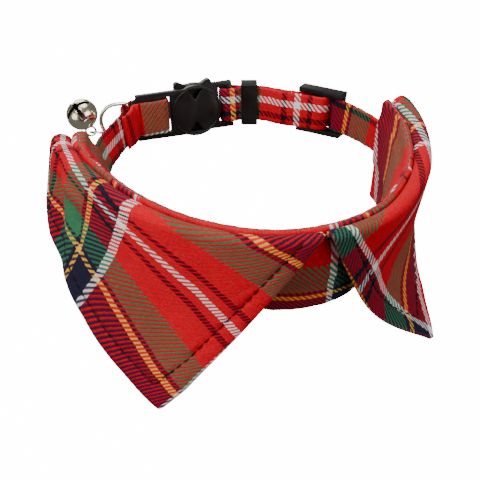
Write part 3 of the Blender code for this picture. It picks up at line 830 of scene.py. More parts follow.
@dataclass(frozen=True)
class Fold:
    """A soft ridge, or a hollow where the height is negative, along a line on the flat piece."""

    start: tuple
    end: tuple
    width: float
    height: float
    ease: float = 0.35
    lead: float = 0.2

    def lift(self, x: np.ndarray, y: np.ndarray) -> np.ndarray:
        """Height at each place: a bell curve across the line that fades at the line's ends.

        Args:
            x: places across the piece.
            y: places down the piece.

        Returns:
            The heights.
        """
        run_x, run_y = self.end[0] - self.start[0], self.end[1] - self.start[1]
        length = math.hypot(run_x, run_y)
        along = ((x - self.start[0]) * run_x + (y - self.start[1]) * run_y) / length
        side = ((x - self.start[0]) * run_y - (y - self.start[1]) * run_x) / length
        reach = length * self.ease
        near, far = (smooth_step(way / reach + self.lead) for way in (along, length - along))
        ends = near * far
        return self.height * np.exp(-((side / self.width) ** 2)) * ends


@dataclass(frozen=True)
class Seam:
    """A row of stitches: how far apart they are, how thick the thread is and how deep they pull."""

    stitch: float = 0.0023
    skip: float = 0.0004
    thread: float = 0.00018
    groove: float = 0.00034
    groove_width: float = 0.00050
    arch: float = 1.5
    sink: float = 0.9
    thin: float = 0.35
    steps: int = 7

    def stitches(self, path: np.ndarray, lift: np.ndarray) -> tuple:
        """Tubes along a path, each sunk at both ends and raised at its middle.

        Args:
            path: points along the seam.
            lift: the unit direction out of the cloth at each point.

        Returns:
            Points and faces of all the stitches.
        """
        travel = travelled(path)
        count = max(1, int(travel[-1] / (self.stitch + self.skip)))
        share = np.linspace(0.0, 1.0, self.steps)
        places = np.arange(count)[:, None] * (self.stitch + self.skip) + share[None, :] * self.stitch
        middle = np.stack([np.interp(places, travel, column) for column in path.T], axis=-1)
        out = unit(np.stack([np.interp(places, travel, column) for column in lift.T], axis=-1))
        heading = unit(np.gradient(middle, axis=1))
        side = unit(np.cross(heading, out))
        bow = np.sin(math.pi * share)
        middle = middle + out * (self.thread * (self.arch * bow - self.sink))[None, :, None]
        reach = self.thread * (self.thin + (1.0 - self.thin) * bow)
        angles = circle_angles(STITCH_SIDES)
        ring = out[:, :, None, :] * np.cos(angles)[:, None] + side[:, :, None, :] * np.sin(angles)[:, None]
        points = middle[:, :, None, :] + ring * reach[None, :, None, None]
        index = np.arange(points[..., 0].size).reshape(points.shape[:3])
        index = np.concatenate([index, index[:, :, :1]], axis=2)
        corners = [index[:, :-1, :-1], index[:, :-1, 1:], index[:, 1:, 1:], index[:, 1:, :-1]]
        faces = np.stack(corners, axis=-1).reshape(-1, 4)
        ends = [index[:, end, corner] for end, corner in STITCH_CAPS]
        return points.reshape(-1, 3), np.concatenate([faces, *ends])


def cloth_shell(middle: np.ndarray, half: np.ndarray, relief: np.ndarray) -> tuple:
    """A closed sheet from its middle surface.

    Both faces lie half the thickness from the middle along its normals, plus the relief, and they share
    the border's vertices, where the thickness is nothing.

    Args:
        middle: the grid of the middle surface.
        half: half the thickness at each place, 0 along the border.
        relief: how far each face is raised above that.

    Returns:
        Points, faces, and the grid place of each point.
    """
    reach = grid_normals(middle) * (half + relief)[..., None]
    rows, columns = half.shape
    count = rows * columns
    top, bottom = middle + reach, middle - reach
    top_index = np.arange(count).reshape(rows, columns)
    bottom_index = top_index.copy()
    inner = (rows - 2) * (columns - 2)
    bottom_index[1:-1, 1:-1] = count + np.arange(inner).reshape(rows - 2, columns - 2)
    points = np.concatenate([top.reshape(-1, 3), bottom[1:-1, 1:-1].reshape(-1, 3)])
    faces = np.concatenate([grid_quads(top_index), grid_quads(bottom_index)[:, ::-1]])
    source = np.concatenate([top_index.ravel(), top_index[1:-1, 1:-1].ravel()])
    return points, faces, source


def quarter_round(distance: np.ndarray, reach: float) -> np.ndarray:
    """Rises from 0 at an edge to 1 at the reach, like a quarter of a circle."""
    near = np.clip(distance / reach, 0.0, 1.0)
    return np.sqrt(1.0 - (1.0 - near) ** 2)


def edge_half(distance: np.ndarray, half: float) -> np.ndarray:
    """Half the cloth's thickness near an edge, where it is rounded like a folded hem."""
    return half * quarter_round(distance, half * HEM_ROUND)


@dataclass(frozen=True)
class StandSizes:
    """The neck stand's sizes, which the falls and the strap also follow."""

    left: float = 0.0825
    right: float = 0.0720
    above: float = 0.0120
    below: float = 0.0180
    wall: float = 0.0011
    seam_gap: float = 0.00015
    tunnel_taper: float = 0.0035
    mouth_left: float = 0.0020
    mouth_right: float = 0.0004
    mouth_reach: float = 0.0120
    clearance: float = 0.0003
    strap_width: float = 0.0096
    strap_thickness: float = 0.0012


@dataclass
class NeckStand:
    """The sewn band round the neck: a flat cloth tunnel, open at both ends.

    The pattern lies one way on the outer ply, another on the inner one and a third on the inner ply past
    the end's start. A wave is the period and the shift of a seam's puckers.
    """

    neck: NeckLine
    sizes: StandSizes = StandSizes()
    outer_lay: TartanLay = TartanLay(across=(32.4, -34.8, -4.8), down=(11.9, -2.0, -20.8, 0.0, 0.0, 26.3))
    inner_lay: TartanLay = TartanLay(across=(-35.2, 40.0, 0.0), down=(45.0, 0.0, -40.0))
    end_lay: TartanLay = TartanLay(
        (0.050, 0.0),
        (16.80, 21.68, -8.68, 1.14, 3.59, -2.15),
        (46.84, -1.05, -36.32, -0.73, 0.10, -0.24),
    )
    end_start: float = 0.012
    ply_round: float = 0.0016
    tunnel_round: float = 0.0010
    pucker: float = 0.00010
    pucker_reach: float = 0.004
    top_wave: tuple = (0.0042, 0.4)
    bottom_wave: tuple = (0.0051, 1.9)
    stations: int = 240
    levels: int = 44

    def half_gap(self, height: np.ndarray) -> np.ndarray:
        """Half the tunnel's width: room for the strap, and nearly shut towards both seams.

        Args:
            height: heights up the band.

        Returns:
            The half width at each height.
        """
        sizes = self.sizes
        room = sizes.strap_thickness / 2.0 + sizes.clearance
        reach = sizes.strap_width / 2.0 + sizes.clearance
        share = smooth_step((np.abs(height) - reach) / sizes.tunnel_taper)
        return room + (sizes.seam_gap - room) * share

    def ring(self, heights: np.ndarray, mouth: np.ndarray, wall: float) -> np.ndarray:
        """Outward offsets round the section, up the outer ply and down the inner one.

        Args:
            heights: heights up the band, rising.
            mouth: how far the outer ply stands off at each station.
            wall: the ply's thickness, or nothing for the tunnel's own wall.

        Returns:
            One row of offsets for each station.
        """
        rise = smooth_step((heights - heights[0]) / (heights[-1] - heights[0]))
        gap = self.half_gap(heights)
        reach = self.ply_round if wall else self.tunnel_round
        round_off = quarter_round(heights - heights[0], reach) * quarter_round(heights[-1] - heights, reach)
        middle = mouth[:, None] * rise / 2.0
        half = (gap + wall + middle) * round_off
        outer, inner = middle + half, middle - half
        return np.concatenate([outer, inner[:, -2:0:-1]], axis=1)

    def ply(self, station: np.ndarray, mouth: np.ndarray, wall: float) -> tuple:
        """The band's outside, or the tunnel's wall where the ply's thickness is nothing.

        Args:
            station: the stations along the band.
            mouth: how far the outer ply stands off at each of them.
            wall: the ply's thickness, or nothing.

        Returns:
            Points, places in the pattern and distances from the edge, as grids.
        """
        sizes = self.sizes
        margin = sizes.wall - wall
        heights = -sizes.below + margin + (sizes.above + sizes.below - 2.0 * margin) * spaced(self.levels)
        offsets = self.ring(heights, mouth, wall)
        side = np.concatenate([np.ones(len(heights)), -np.ones(len(heights) - 2)])
        x = np.broadcast_to(station[:, None], offsets.shape)
        y = np.broadcast_to(np.concatenate([heights, heights[-2:0:-1]]), offsets.shape)
        if wall:
            offsets = offsets + side * self.relief(x, y)
        centre, outward, _, up, _ = (axis[:, None, :] for axis in self.neck.frame(station))
        points = centre + outward * offsets[..., None] + up * y[..., None]
        edge = np.minimum(y + sizes.below, sizes.above - y)
        edge = np.minimum(edge, np.minimum(x + sizes.left, sizes.right - x))
        near_end = (x > self.end_start)[..., None]
        inner = np.where(near_end, self.end_lay.place(x, y), self.inner_lay.place(x, y))
        lays = np.where((side > 0.0)[None, :, None], self.outer_lay.place(x, y), inner)
        return points, lays, edge

    def build(self, material: bpy.types.Material) -> bpy.types.Object:
        """Makes the band.

        Args:
            material: the cloth.

        Returns:
            The new object.
        """
        sizes = self.sizes
        station = -sizes.left + (sizes.left + sizes.right) * spaced(self.stations)
        mouth = sizes.mouth_left * smooth_step(1.0 - (station + sizes.left) / sizes.mouth_reach)
        mouth = mouth + sizes.mouth_right * smooth_step(1.0 - (sizes.right - station) / sizes.mouth_reach)
        plies = [self.ply(station, mouth, wall) for wall in (sizes.wall, 0.0)]
        points, cloth, edge = (np.stack(grids) for grids in zip(*plies))
        count = edge[0].size
        index = closed(np.arange(count).reshape(edge[0].shape))
        faces = [grid_quads(index), grid_quads(index + count)[:, ::-1]]
        for end, order in ((0, 1), (-1, -1)):
            faces.append(grid_quads(np.stack([index[end], index[end] + count])[::order]))
        edge = np.maximum(edge, 0.0).ravel()
        points, cloth = points.reshape(-1, 3), cloth.reshape(-1, 2)
        band = add_mesh("neck_stand_cloth", points, np.concatenate(faces), material, cloth, edge)
        enrol(band, Slot.TARTAN, "neck_stand")
        return band

    def relief(self, x: np.ndarray, y: np.ndarray) -> np.ndarray:
        """Puckers beside the seams.

        Args:
            x: stations.
            y: heights.

        Returns:
            Height out of each ply.
        """
        top = np.exp(-(((self.sizes.above - y) / self.pucker_reach) ** 2))
        bottom = np.exp(-(((y + self.sizes.below) / self.pucker_reach) ** 2))
        return self.pucker * (ripple(x, *self.top_wave) * top + ripple(x, *self.bottom_wave) * bottom)


@dataclass
class FallShape:
    """A fall's profile down the cloth, worked out once for a table of places along it.

    The cloth turns round the roll until it points down and inwards by the tuck angle, clings to the
    stand for a while, and then swings outwards to the flare angle over the drape length.
    """

    length: float
    rows: tuple
    roll_radius: float = 0.0019
    drape: float = 0.0300
    end_drop: float = 0.0190
    reach: float = 0.0620
    place_count: int = 161
    depth_count: int = 401

    def __post_init__(self) -> None:
        """Adds up the profile's steps at each place along the fall."""
        knots, rolls, tucks, clings, flares = np.array(self.rows).T
        self.knots = knots * self.length
        self.rolls = rolls * self.roll_radius
        self.tucks = np.radians(tucks)
        self.clings = clings * self.end_drop
        self.flares = np.radians(flares)
        self.places = np.linspace(0.0, self.length, self.place_count)
        self.depths = np.linspace(0.0, self.reach, self.depth_count)
        roll, tuck, cling, flare = (
            hermite(self.places, self.knots, column)[:, None]
            for column in (self.rolls, self.tucks, self.clings, self.flares)
        )
        turned = math.pi / 2.0 + tuck
        after = (self.depths[None, :] - turned * roll - cling) / self.drape
        angle = np.minimum(self.depths[None, :] / roll, turned) - (tuck + flare) * smooth_step(after)
        step = self.depths[1]
        self.outs = self.add_up(np.cos(angle), step)
        self.downs = self.add_up(np.sin(angle), step)

    @staticmethod
    def add_up(slopes: np.ndarray, step: float) -> np.ndarray:
        """Running sum of the slopes' means times the step."""
        means = (slopes[:, 1:] + slopes[:, :-1]) / 2.0 * step
        return np.concatenate([np.zeros((len(slopes), 1)), np.cumsum(means, axis=1)], axis=1)

    def roll_at(self, across: np.ndarray) -> np.ndarray:
        """The roll's radius at places along the fall."""
        return hermite(np.clip(across, 0.0, self.length), self.knots, self.rolls)

    def read(self, table: np.ndarray, across: np.ndarray, depth: np.ndarray) -> np.ndarray:
        """Reads a table between its places and depths, in straight lines both ways.

        Args:
            table: one row for each place, one column for each depth.
            across: places along the fall.
            depth: depths down the cloth.

        Returns:
            The table's values.
        """
        row = np.clip(across / self.places[1], 0.0, len(self.places) - 1.001)
        column = np.clip(depth / self.depths[1], 0.0, len(self.depths) - 1.001)
        i, j = row.astype(int), column.astype(int)
        a, b = row - i, column - j
        low = table[i, j] * (1.0 - b) + table[i, j + 1] * b
        high = table[i + 1, j] * (1.0 - b) + table[i + 1, j + 1] * b
        return low * (1.0 - a) + high * a


@dataclass
class Lapel:
    """One pointed fall of the shirt collar, turned over the stand's top edge.

    The side is 1 to the right of the parting and -1 to the left. A pair named from holds the depth where
    a relief starts and the run over which it rises.
    """

    name: str
    neck: NeckLine
    side: float
    length: float
    bow: float
    fold: float
    rows: tuple
    mouth: float
    lay: TartanLay
    folds: tuple = ()
    stand: StandSizes = StandSizes()
    thickness: float = 0.0015
    parting: float = 0.0004
    leg: float = 0.0018
    end_drop: float = 0.0190
    point_drop: float = 0.0515
    setback: float = 0.0310
    fold_setback: float = 0.0085
    fold_width: float = 0.0040
    fold_reach: float = 0.0200
    fold_slant: float = 0.25
    fold_ease: float = 0.35
    fold_ridge: float = 1.2
    stitch_inset: float = 0.0036
    point_round: float = 0.0012
    pad: float = 0.00012
    pad_width: float = 0.0010
    pucker: float = 0.00013
    pucker_width: float = 0.0022
    pucker_period: float = 0.0038
    pucker_slant: float = 0.8
    pucker_shift: float = 0.7
    shown_from: tuple = (-0.001, 0.003)
    wave: float = 0.00022
    wave_period: float = 0.0170
    wave_slant: float = 0.45
    wave_shift: float = 1.3
    wave_from: tuple = (0.004, 0.012)
    probe: float = 0.0002
    seam: Seam = Seam()
    columns: int = 190
    leg_rows: int = 9
    roll_rows: int = 15
    down_rows: int = 120

    def __post_init__(self) -> None:
        """Works out the fall's profile."""
        self.shape = FallShape(self.length, self.rows, end_drop=self.end_drop)

    def soft_fold(self, across: np.ndarray, depth: np.ndarray) -> np.ndarray:
        """How far the crease near the back end sinks in: a valley with a low ridge on each side.

        Args:
            across: places across the flat cut.
            depth: places down it.

        Returns:
            The height, which is negative in the valley.
        """
        valley = (across - self.fold_setback - depth * self.fold_slant) / self.fold_width
        fall = smooth_step(depth / (self.fold_reach * self.fold_ease))
        fall = fall * smooth_step(2.0 - depth / self.fold_reach)
        return -self.fold * fall * (1.0 - self.fold_ridge * valley**2) * np.exp(-(valley**2))

    def surface(self, across: np.ndarray, depth: np.ndarray) -> np.ndarray:
        """The middle surface at places on the flat cut.

        Args:
            across: distance from the back end along the seam.
            depth: distance down the cloth from the top of the roll.

        Returns:
            Points in metres.
        """
        shape = self.shape
        roll = shape.roll_at(across)
        forward = np.clip(depth, 0.0, None)
        back = np.clip(depth, -math.pi / 2.0 * roll, 0.0) / roll
        leg = np.minimum(depth + math.pi / 2.0 * roll, 0.0)
        out = shape.read(shape.outs, across, forward) + roll * np.sin(back) + self.soft_fold(across, depth)
        rise = -shape.read(shape.downs, across, forward) - roll * (1.0 - np.cos(back))
        station = self.side * (self.length + self.parting - across)
        centre, outward, _, up, level = self.neck.frame(station)
        mouth = self.mouth * smooth_step(1.0 - across / self.stand.mouth_reach)
        sewn = smooth_step(back / (-math.pi / 2.0))
        loose = 2.0 * self.stand.clearance * (1.0 - sewn)
        offset = self.stand.wall + self.stand.seam_gap + loose + self.thickness / 2.0 + mouth
        points = centre + outward * offset[..., None] + up * (self.stand.above - roll)[..., None]
        points = points + level * (out + roll)[..., None] + up * leg[..., None]
        points[..., 2] += rise + roll
        return points

    def cut(self, share: np.ndarray, down: np.ndarray) -> tuple:
        """Places on the flat cut, from the shares across and down it.

        Args:
            share: 0 at the back end, 1 at the front edge.
            down: 0 at the top of the roll, 1 at the free edge.

        Returns:
            Distances across and down.
        """
        slant = down - self.bow * down * (1.0 - down)
        across = share * (self.length - slant * self.setback)
        return across, down * (self.end_drop + (self.point_drop - self.end_drop) * share)

    def edge_distance(self, share: np.ndarray, down: np.ndarray) -> tuple:
        """Distances in from the edges.

        Args:
            share: 0 at the back end, 1 at the front edge.
            down: 0 at the top of the roll, 1 at the free edge.

        Returns:
            Distances from the back end, the free edge and the front edge.
        """
        across, _ = self.cut(share, down)
        lower_slope = math.atan2(self.point_drop - self.end_drop, self.length - self.setback)
        drop = self.end_drop + (self.point_drop - self.end_drop) * share
        width = self.length - down * self.setback
        low = (1.0 - down) * drop * math.cos(lower_slope)
        return across, low, (1.0 - share) * width * self.front_cosine()

    def front_cosine(self) -> float:
        """Cosine of the front edge's slant, which turns distances along rows into distances from it."""
        return math.cos(math.atan2(self.setback, self.point_drop))

    def round_point(self, share: np.ndarray, down: np.ndarray) -> tuple:
        """Draws the point in, so that it is round: its patch is mapped from a square to a quarter disc.

        Args:
            share: 0 at the back end, 1 at the front edge.
            down: 0 at the top of the roll, 1 at the free edge.

        Returns:
            The new shares.
        """
        across_room = self.point_round / (self.length - self.setback)
        down_room = self.point_round / self.point_drop
        p = np.clip((share - 1.0) / across_room + 1.0, 0.0, 1.0)
        q = np.clip((down - 1.0) / down_room + 1.0, 0.0, 1.0)
        patch = (p > 0.0) & (q > 0.0)
        share = np.where(patch, 1.0 + (p * np.sqrt(1.0 - q * q / 2.0) - 1.0) * across_room, share)
        down = np.where(patch, 1.0 + (q * np.sqrt(1.0 - p * p / 2.0) - 1.0) * down_room, down)
        return share, down

    def relief(self, across: np.ndarray, depth: np.ndarray, inset: np.ndarray) -> np.ndarray:
        """Groove of the topstitching, the padded hem outside it and its puckers.

        Args:
            across: places across the flat cut.
            depth: places down it.
            inset: distance in from the nearest free edge.

        Returns:
            Height out of either face.
        """
        seam = self.seam
        beside = inset - self.stitch_inset
        groove = -seam.groove * np.exp(-((beside / seam.groove_width) ** 2))
        pad = self.pad * np.exp(-(((inset - self.stitch_inset * 0.5) / self.pad_width) ** 2))
        near = np.exp(-((beside / self.pucker_width) ** 2))
        along = across * self.pucker_slant + depth
        pucker = self.pucker * near * ripple(along, self.pucker_period, self.pucker_shift + self.side)
        start, reach = self.shown_from
        return (groove + pad + pucker) * smooth_step((depth - start) / reach)

    def bend(self, across: np.ndarray, depth: np.ndarray) -> np.ndarray:
        """Height of the soft folds and of the slow waves, which move both faces together.

        Args:
            across: places across the flat cut.
            depth: places down it.

        Returns:
            The height at each place.
        """
        along = across + self.wave_slant * depth
        waves = self.wave * ripple(along, self.wave_period, self.wave_shift + self.side)
        start, reach = self.wave_from
        waves = waves * smooth_step((depth - start) / reach)
        return waves + sum((fold.lift(across, depth) for fold in self.folds), np.zeros(across.shape))

    def middle(self, across: np.ndarray, depth: np.ndarray) -> np.ndarray:
        """The middle surface on a grid, with its soft folds; the side says where its normals point."""
        points = self.surface(across, depth)
        return points + grid_normals(points) * (self.side * self.bend(across, depth))[..., None]

    def stitch_path(self, count: int = 400, skipped: int = 20) -> tuple:
        """The topstitching's line on the flat cut: down the back end, along the free edge, up the front.

        Args:
            count: samples along each side of the cut.
            skipped: the first of them that the free edge's line starts at.

        Returns:
            The line's shares across and down the cut.
        """
        inset = self.stitch_inset
        shares = np.linspace(0.0, 1.0, count)
        share, down = np.meshgrid(shares, shares)
        _, low, front = self.edge_distance(share, down)
        back_end = np.interp(inset, low[::-1, skipped], shares[::-1])
        back = (np.full(60, inset / self.length), np.linspace(0.02, back_end, 60))
        columns = np.arange(skipped, count)
        downs = np.array([np.interp(inset, low[::-1, column], shares[::-1]) for column in columns])
        fronts = np.array([np.interp(at, shares, front[:, column]) for at, column in zip(downs, columns)])
        free = (shares[columns][fronts > inset], downs[fronts > inset])
        rows = np.arange(count - 1, 4, -1)
        places = np.array([np.interp(inset, front[row, ::-1], shares[::-1]) for row in rows])
        lows = np.array([np.interp(at, shares, low[row]) for at, row in zip(places, rows)])
        rise = (places[lows > inset], shares[rows][lows > inset])
        return tuple(np.concatenate(parts) for parts in zip(back, free, rise))

    def build(self, material: bpy.types.Material, thread: bpy.types.Material) -> list:
        """Makes the fall and its topstitching.

        Args:
            material: the cloth.
            thread: the sewing thread.

        Returns:
            The new objects.
        """
        columns = spaced(self.columns)
        share, down = self.round_point(*np.meshgrid(columns, spaced(self.down_rows, tight_start=False)))
        across, depth = self.cut(share, down)
        top_across = columns[None, :] * self.length
        quarter = math.pi / 2.0 * self.shape.roll_at(top_across)
        leg = -self.leg * (1.0 - spaced(self.leg_rows, tight_end=False))[:, None] - quarter
        turned = -quarter * np.linspace(1.0, 0.0, self.roll_rows)[1:-1, None]
        top_depth = np.concatenate([leg, turned])
        top_across = np.broadcast_to(top_across, top_depth.shape)
        top_front = (self.length - top_across) * self.front_cosine()
        free_edges = np.min(self.edge_distance(share, down), axis=0)
        inset = np.concatenate([np.minimum(top_across, top_front), free_edges])
        across = np.concatenate([top_across, across])
        depth = np.concatenate([top_depth, depth])
        top_edge = top_depth + quarter + self.leg
        edge = np.minimum(inset, np.concatenate([top_edge, np.full(down.shape, 1.0)]))
        middle = self.middle(across, depth)
        half = edge_half(np.maximum(edge, 0.0), self.thickness / 2.0)
        half[[0, -1], :] = 0.0
        half[:, [0, -1]] = 0.0
        points, faces, source = cloth_shell(middle, half, self.relief(across, depth, inset) * (half > 0.0))
        cloth = self.lay.place(across, depth).reshape(-1, 2)[source]
        edge = np.maximum(edge, 0.0).ravel()[source]
        piece = add_mesh(self.name + "_cloth", points, faces, material, cloth, edge)
        enrol(piece, Slot.TARTAN, self.name)
        stitches = self.build_stitches(thread)
        return [piece, stitches]

    def build_stitches(self, thread: bpy.types.Material) -> bpy.types.Object:
        """Makes the topstitching on both faces, as one piece.

        Args:
            thread: the sewing thread.

        Returns:
            The new object.
        """
        across, depth = self.cut(*self.stitch_path())
        step = self.probe
        here = self.surface(across, depth)
        along = self.surface(across + step, depth) - here
        below = self.surface(across, depth + step) - here
        normal = unit(np.cross(along, below)) * self.side
        here = here + normal * self.bend(across, depth)[:, None]
        reach = self.thickness / 2.0 - self.seam.groove + self.seam.thread
        rows = [self.seam.stitches(here + out * reach, out) for out in (normal, -normal)]
        points = np.concatenate([row[0] for row in rows])
        faces = np.concatenate([rows[0][1], rows[1][1] + len(rows[0][0])])
        return enrol(add_mesh(self.name + "_topstitch", points, faces, thread), Slot.TARTAN)


@dataclass
class StrapTape:
    """The strap: a folded tartan tape from its tail on the slider to its sewn hem past the D-ring.

    Each lay of the pattern goes with the distance along the tape that it starts at.
    """

    neck: NeckLine
    lays: tuple = (
        (0.000, TartanLay(across=(-13.7, 44.0, 0.0), down=(1.6, 0.0, -40.0))),
        (0.058, TartanLay(across=(98.7, -40.0, 4.0), down=(7.6, 0.0, -42.0))),
        (0.170, TartanLay(across=(-293.0, 44.0, 2.0), down=(0.4, 0.0, -40.0))),
        (0.284, TartanLay(across=(92.0, 39.8, -3.5), down=(8.0, 3.5, 39.8))),
    )
    width: float = 0.0096
    thickness: float = 0.0012
    clearance: float = 0.0003
    step: float = 0.0012
    hem_run: float = 0.0075
    hem_ease: float = 0.006
    hem_lap: float = 0.003
    tail_wrap: float = 0.0008
    disc_radius: float = 0.0073
    plate: float = 0.0018
    bar_width: float = 0.0018
    long_frame: float = 0.0076
    keeper_gap: float = 0.0024
    keeper_width: float = 0.0046
    keeper_to_slider: float = 0.0120
    slider_length: float = 0.0130
    slider_bar: float = 0.0014
    ring_to_buckle: float = 0.0030
    ring_wire: float = 0.0011
    spacing: float = 0.0005
    gather: float = 0.00020
    gather_period: float = 0.0040
    gather_least: float = 0.35
    end_share: float = 0.12
    side_power: float = 0.5
    rise_power: float = 0.32

    def __post_init__(self) -> None:
        """Works out where the fittings sit along the strap from their own sizes."""
        half = self.thickness / 2.0
        self.ply = half + self.clearance / 2.0
        self.plate_offset = (self.clearance + self.plate) / 2.0
        self.plate_turn = math.hypot(self.bar_width, self.plate) / 2.0 + self.clearance + half
        self.bar_reach = self.disc_radius + self.clearance + half + self.plate_turn
        self.short_reach = self.bar_reach + self.bar_width / 2.0
        self.long_reach = self.bar_reach - self.bar_width / 2.0 + self.long_frame
        self.buckle = self.neck.station_at(self.neck.buckle_bearing)
        self.slider_turn = math.hypot(self.slider_bar, self.slider_bar) / 2.0 + self.clearance + half
        self.slider_hill = self.slider_turn + self.thickness + self.clearance
        self.rail_reach = (self.slider_length - self.slider_bar) / 2.0
        self.keeper = self.buckle - self.short_reach - self.keeper_gap - self.keeper_width / 2.0
        self.slider = self.keeper - self.keeper_width / 2.0 - self.keeper_to_slider
        self.slider -= self.slider_length / 2.0
        self.ring_gap = self.ring_wire / 2.0 + self.clearance + half
        self.ring = self.buckle + self.long_reach + self.ring_to_buckle
        self.hem = self.ring + self.hem_run

    def run(self, start: tuple, end: tuple) -> list:
        """Points from one station and offset to the next, easing from offset to offset.

        Args:
            start: the station and offset to leave, which isn't among the points.
            end: the station and offset to reach.

        Returns:
            Pairs of station and offset.
        """
        count = max(2, math.ceil(abs(end[0] - start[0]) / self.step) + 1)
        share = np.linspace(0.0, 1.0, count)[1:]
        stations = start[0] + (end[0] - start[0]) * share
        return list(zip(stations, start[1] + (end[1] - start[1]) * smooth_step(share)))

    @staticmethod
    def turn(centre: tuple, radius: float, start: float, end: float, count: int = 15) -> list:
        """Points on an arc round a bar.

        Args:
            centre: the bar's station and offset.
            radius: the strap's middle line round the bar.
            start: the first angle in degrees.
            end: the last angle in degrees.
            count: how many points.

        Returns:
            Pairs of station and offset.
        """
        angles = np.radians(np.linspace(start, end, count))
        return list(zip(centre[0] + radius * np.cos(angles), centre[1] + radius * np.sin(angles)))

    def join(self, route: list, stops: Sequence[tuple]) -> None:
        """Carries a route on through further stops.

        Args:
            route: the route so far, which grows.
            stops: pairs of station and offset.
        """
        for stop in stops:
            route += self.run(route[-1], stop)

    def route(self) -> np.ndarray:
        """The whole strap, evenly spaced and eased at its corners.

        Returns:
            Rows of station and outward offset.
        """
        bar = (self.slider, 0.0)
        route = [(self.slider + self.tail_wrap, self.slider_turn)]
        route += self.turn(bar, self.slider_turn, 90.0, 270.0, 17)
        ends = (self.keeper - self.keeper_width / 2.0, self.keeper + self.keeper_width / 2.0)
        short_bar = (self.buckle - self.bar_reach, self.plate_offset)
        rail_pass = self.thickness / 2.0
        self.join(route, (
            (self.slider + self.rail_reach, -self.slider_turn),
            (ends[0], -self.ply),
            (ends[1], -self.ply),
            (short_bar[0], short_bar[1] - self.plate_turn),
        ))
        route += self.turn(short_bar, self.plate_turn, -75.0, 120.0, 17)
        self.join(route, (
            (ends[1], self.ply),
            (ends[0], self.ply),
            (self.slider + self.rail_reach, rail_pass),
        ))
        route += self.turn(bar, self.slider_hill, 35.0, 145.0)
        back = self.neck.length
        self.join(route, (
            (self.slider - self.rail_reach, rail_pass),
            (self.slider - self.slider_length, 0.0),
            (self.hem - back + self.hem_ease, 0.0),
            (self.hem - back - self.hem_lap, self.ply),
            (self.ring - back + self.ring_wire, self.ring_gap),
            (self.ring - back, self.ring_gap),
        ))
        long_bar = (self.buckle + self.bar_reach - back, -self.plate_offset)
        plate_end = self.buckle + self.long_reach + self.thickness / 2.0 - back
        above = long_bar[1] + self.plate_turn
        self.join(route, ((plate_end, above), (long_bar[0], above)))
        route += self.turn(long_bar, self.plate_turn, 105.0, 270.0)
        self.join(route, (
            (plate_end, long_bar[1] - self.plate_turn),
            (self.ring - back, -self.ring_gap),
            (self.ring - back + self.ring_wire, -self.ring_gap),
            (self.hem - back, -self.ply),
        ))
        return self.even_out(np.array(route))

    def even_out(self, route: np.ndarray) -> np.ndarray:
        """Spaces the route evenly and blurs its corners a little, with its two ends kept.

        Args:
            route: rows of station and offset.

        Returns:
            The eased rows.
        """
        travel = travelled(route)
        places = np.linspace(0.0, travel[-1], int(travel[-1] / self.spacing))
        even = np.stack([np.interp(places, travel, column) for column in route.T], axis=-1)
        for _ in range(2):
            even[1:-1] = (even[:-2] + even[1:-1] * 2.0 + even[2:]) / 4.0
        return even

    def section(self, count: int = 30) -> tuple:
        """A flattened round section, by powers of cosine and sine.

        Args:
            count: points round it.

        Returns:
            Offsets across the thickness and heights up the width.
        """
        angle = circle_angles(count)
        cosine, sine = np.cos(angle), np.sin(angle)
        side = self.thickness / 2.0 * np.sign(cosine) * np.abs(cosine) ** self.side_power
        rise = self.width / 2.0 * np.sign(sine) * np.abs(sine) ** self.rise_power
        return side, rise

    def build(self, material: bpy.types.Material) -> bpy.types.Object:
        """Makes the strap.

        Args:
            material: the cloth.

        Returns:
            The new object.
        """
        route = self.route()
        centre, outward, _, up, _ = self.neck.frame(route[:, 0])
        middle = centre + outward * route[:, 1:2]
        travel = travelled(middle)
        across = unit(np.cross(np.gradient(middle, axis=0), up))
        side, rise = self.section()
        x = np.broadcast_to(travel[:, None], (len(travel), len(side)))
        y = np.broadcast_to(rise[None, :], x.shape)
        ends = quarter_round(np.minimum(travel, travel[-1] - travel), self.thickness / 2.0 * HEM_ROUND)
        thick = side[None, :] * np.maximum(ends, self.end_share)[:, None] + self.relief(x, y)
        points = middle[:, None, :] + across[:, None, :] * thick[..., None] + up[:, None, :] * y[..., None]
        index = closed(np.arange(x.size).reshape(x.shape))
        faces = [grid_quads(index)]
        half = x.shape[1] // 2
        for row, order in ((0, -1), (-1, 1)):
            ring = index[row, :-1]
            left, right = ring[: half + 1], np.concatenate([ring[:1], ring[: half - 1 : -1]])
            faces.append(grid_quads(np.stack([left, right]))[:, ::order])
        edge = self.width / 2.0 - np.abs(y)
        cloth = self.lays[0][1].place(x, y)
        for start, lay in self.lays[1:]:
            cloth = np.where((x >= start)[..., None], lay.place(x, y), cloth)
        points, cloth = points.reshape(-1, 3), cloth.reshape(-1, 2)
        tape = add_mesh("strap_tape", points, np.concatenate(faces), material, cloth, edge.ravel())
        enrol(tape, Slot.TARTAN, "strap")
        return tape

    def relief(self, x: np.ndarray, y: np.ndarray) -> np.ndarray:
        """Sewn gathers: uneven cross ripples, deeper towards the tape's edges."""
        edge = self.gather_least + (1.0 - self.gather_least) * (np.abs(y) / (self.width / 2.0)) ** 2
        return self.gather * edge * ripple(x + 0.15 * y, self.gather_period, 0.3)


# Moulded and metal fittings


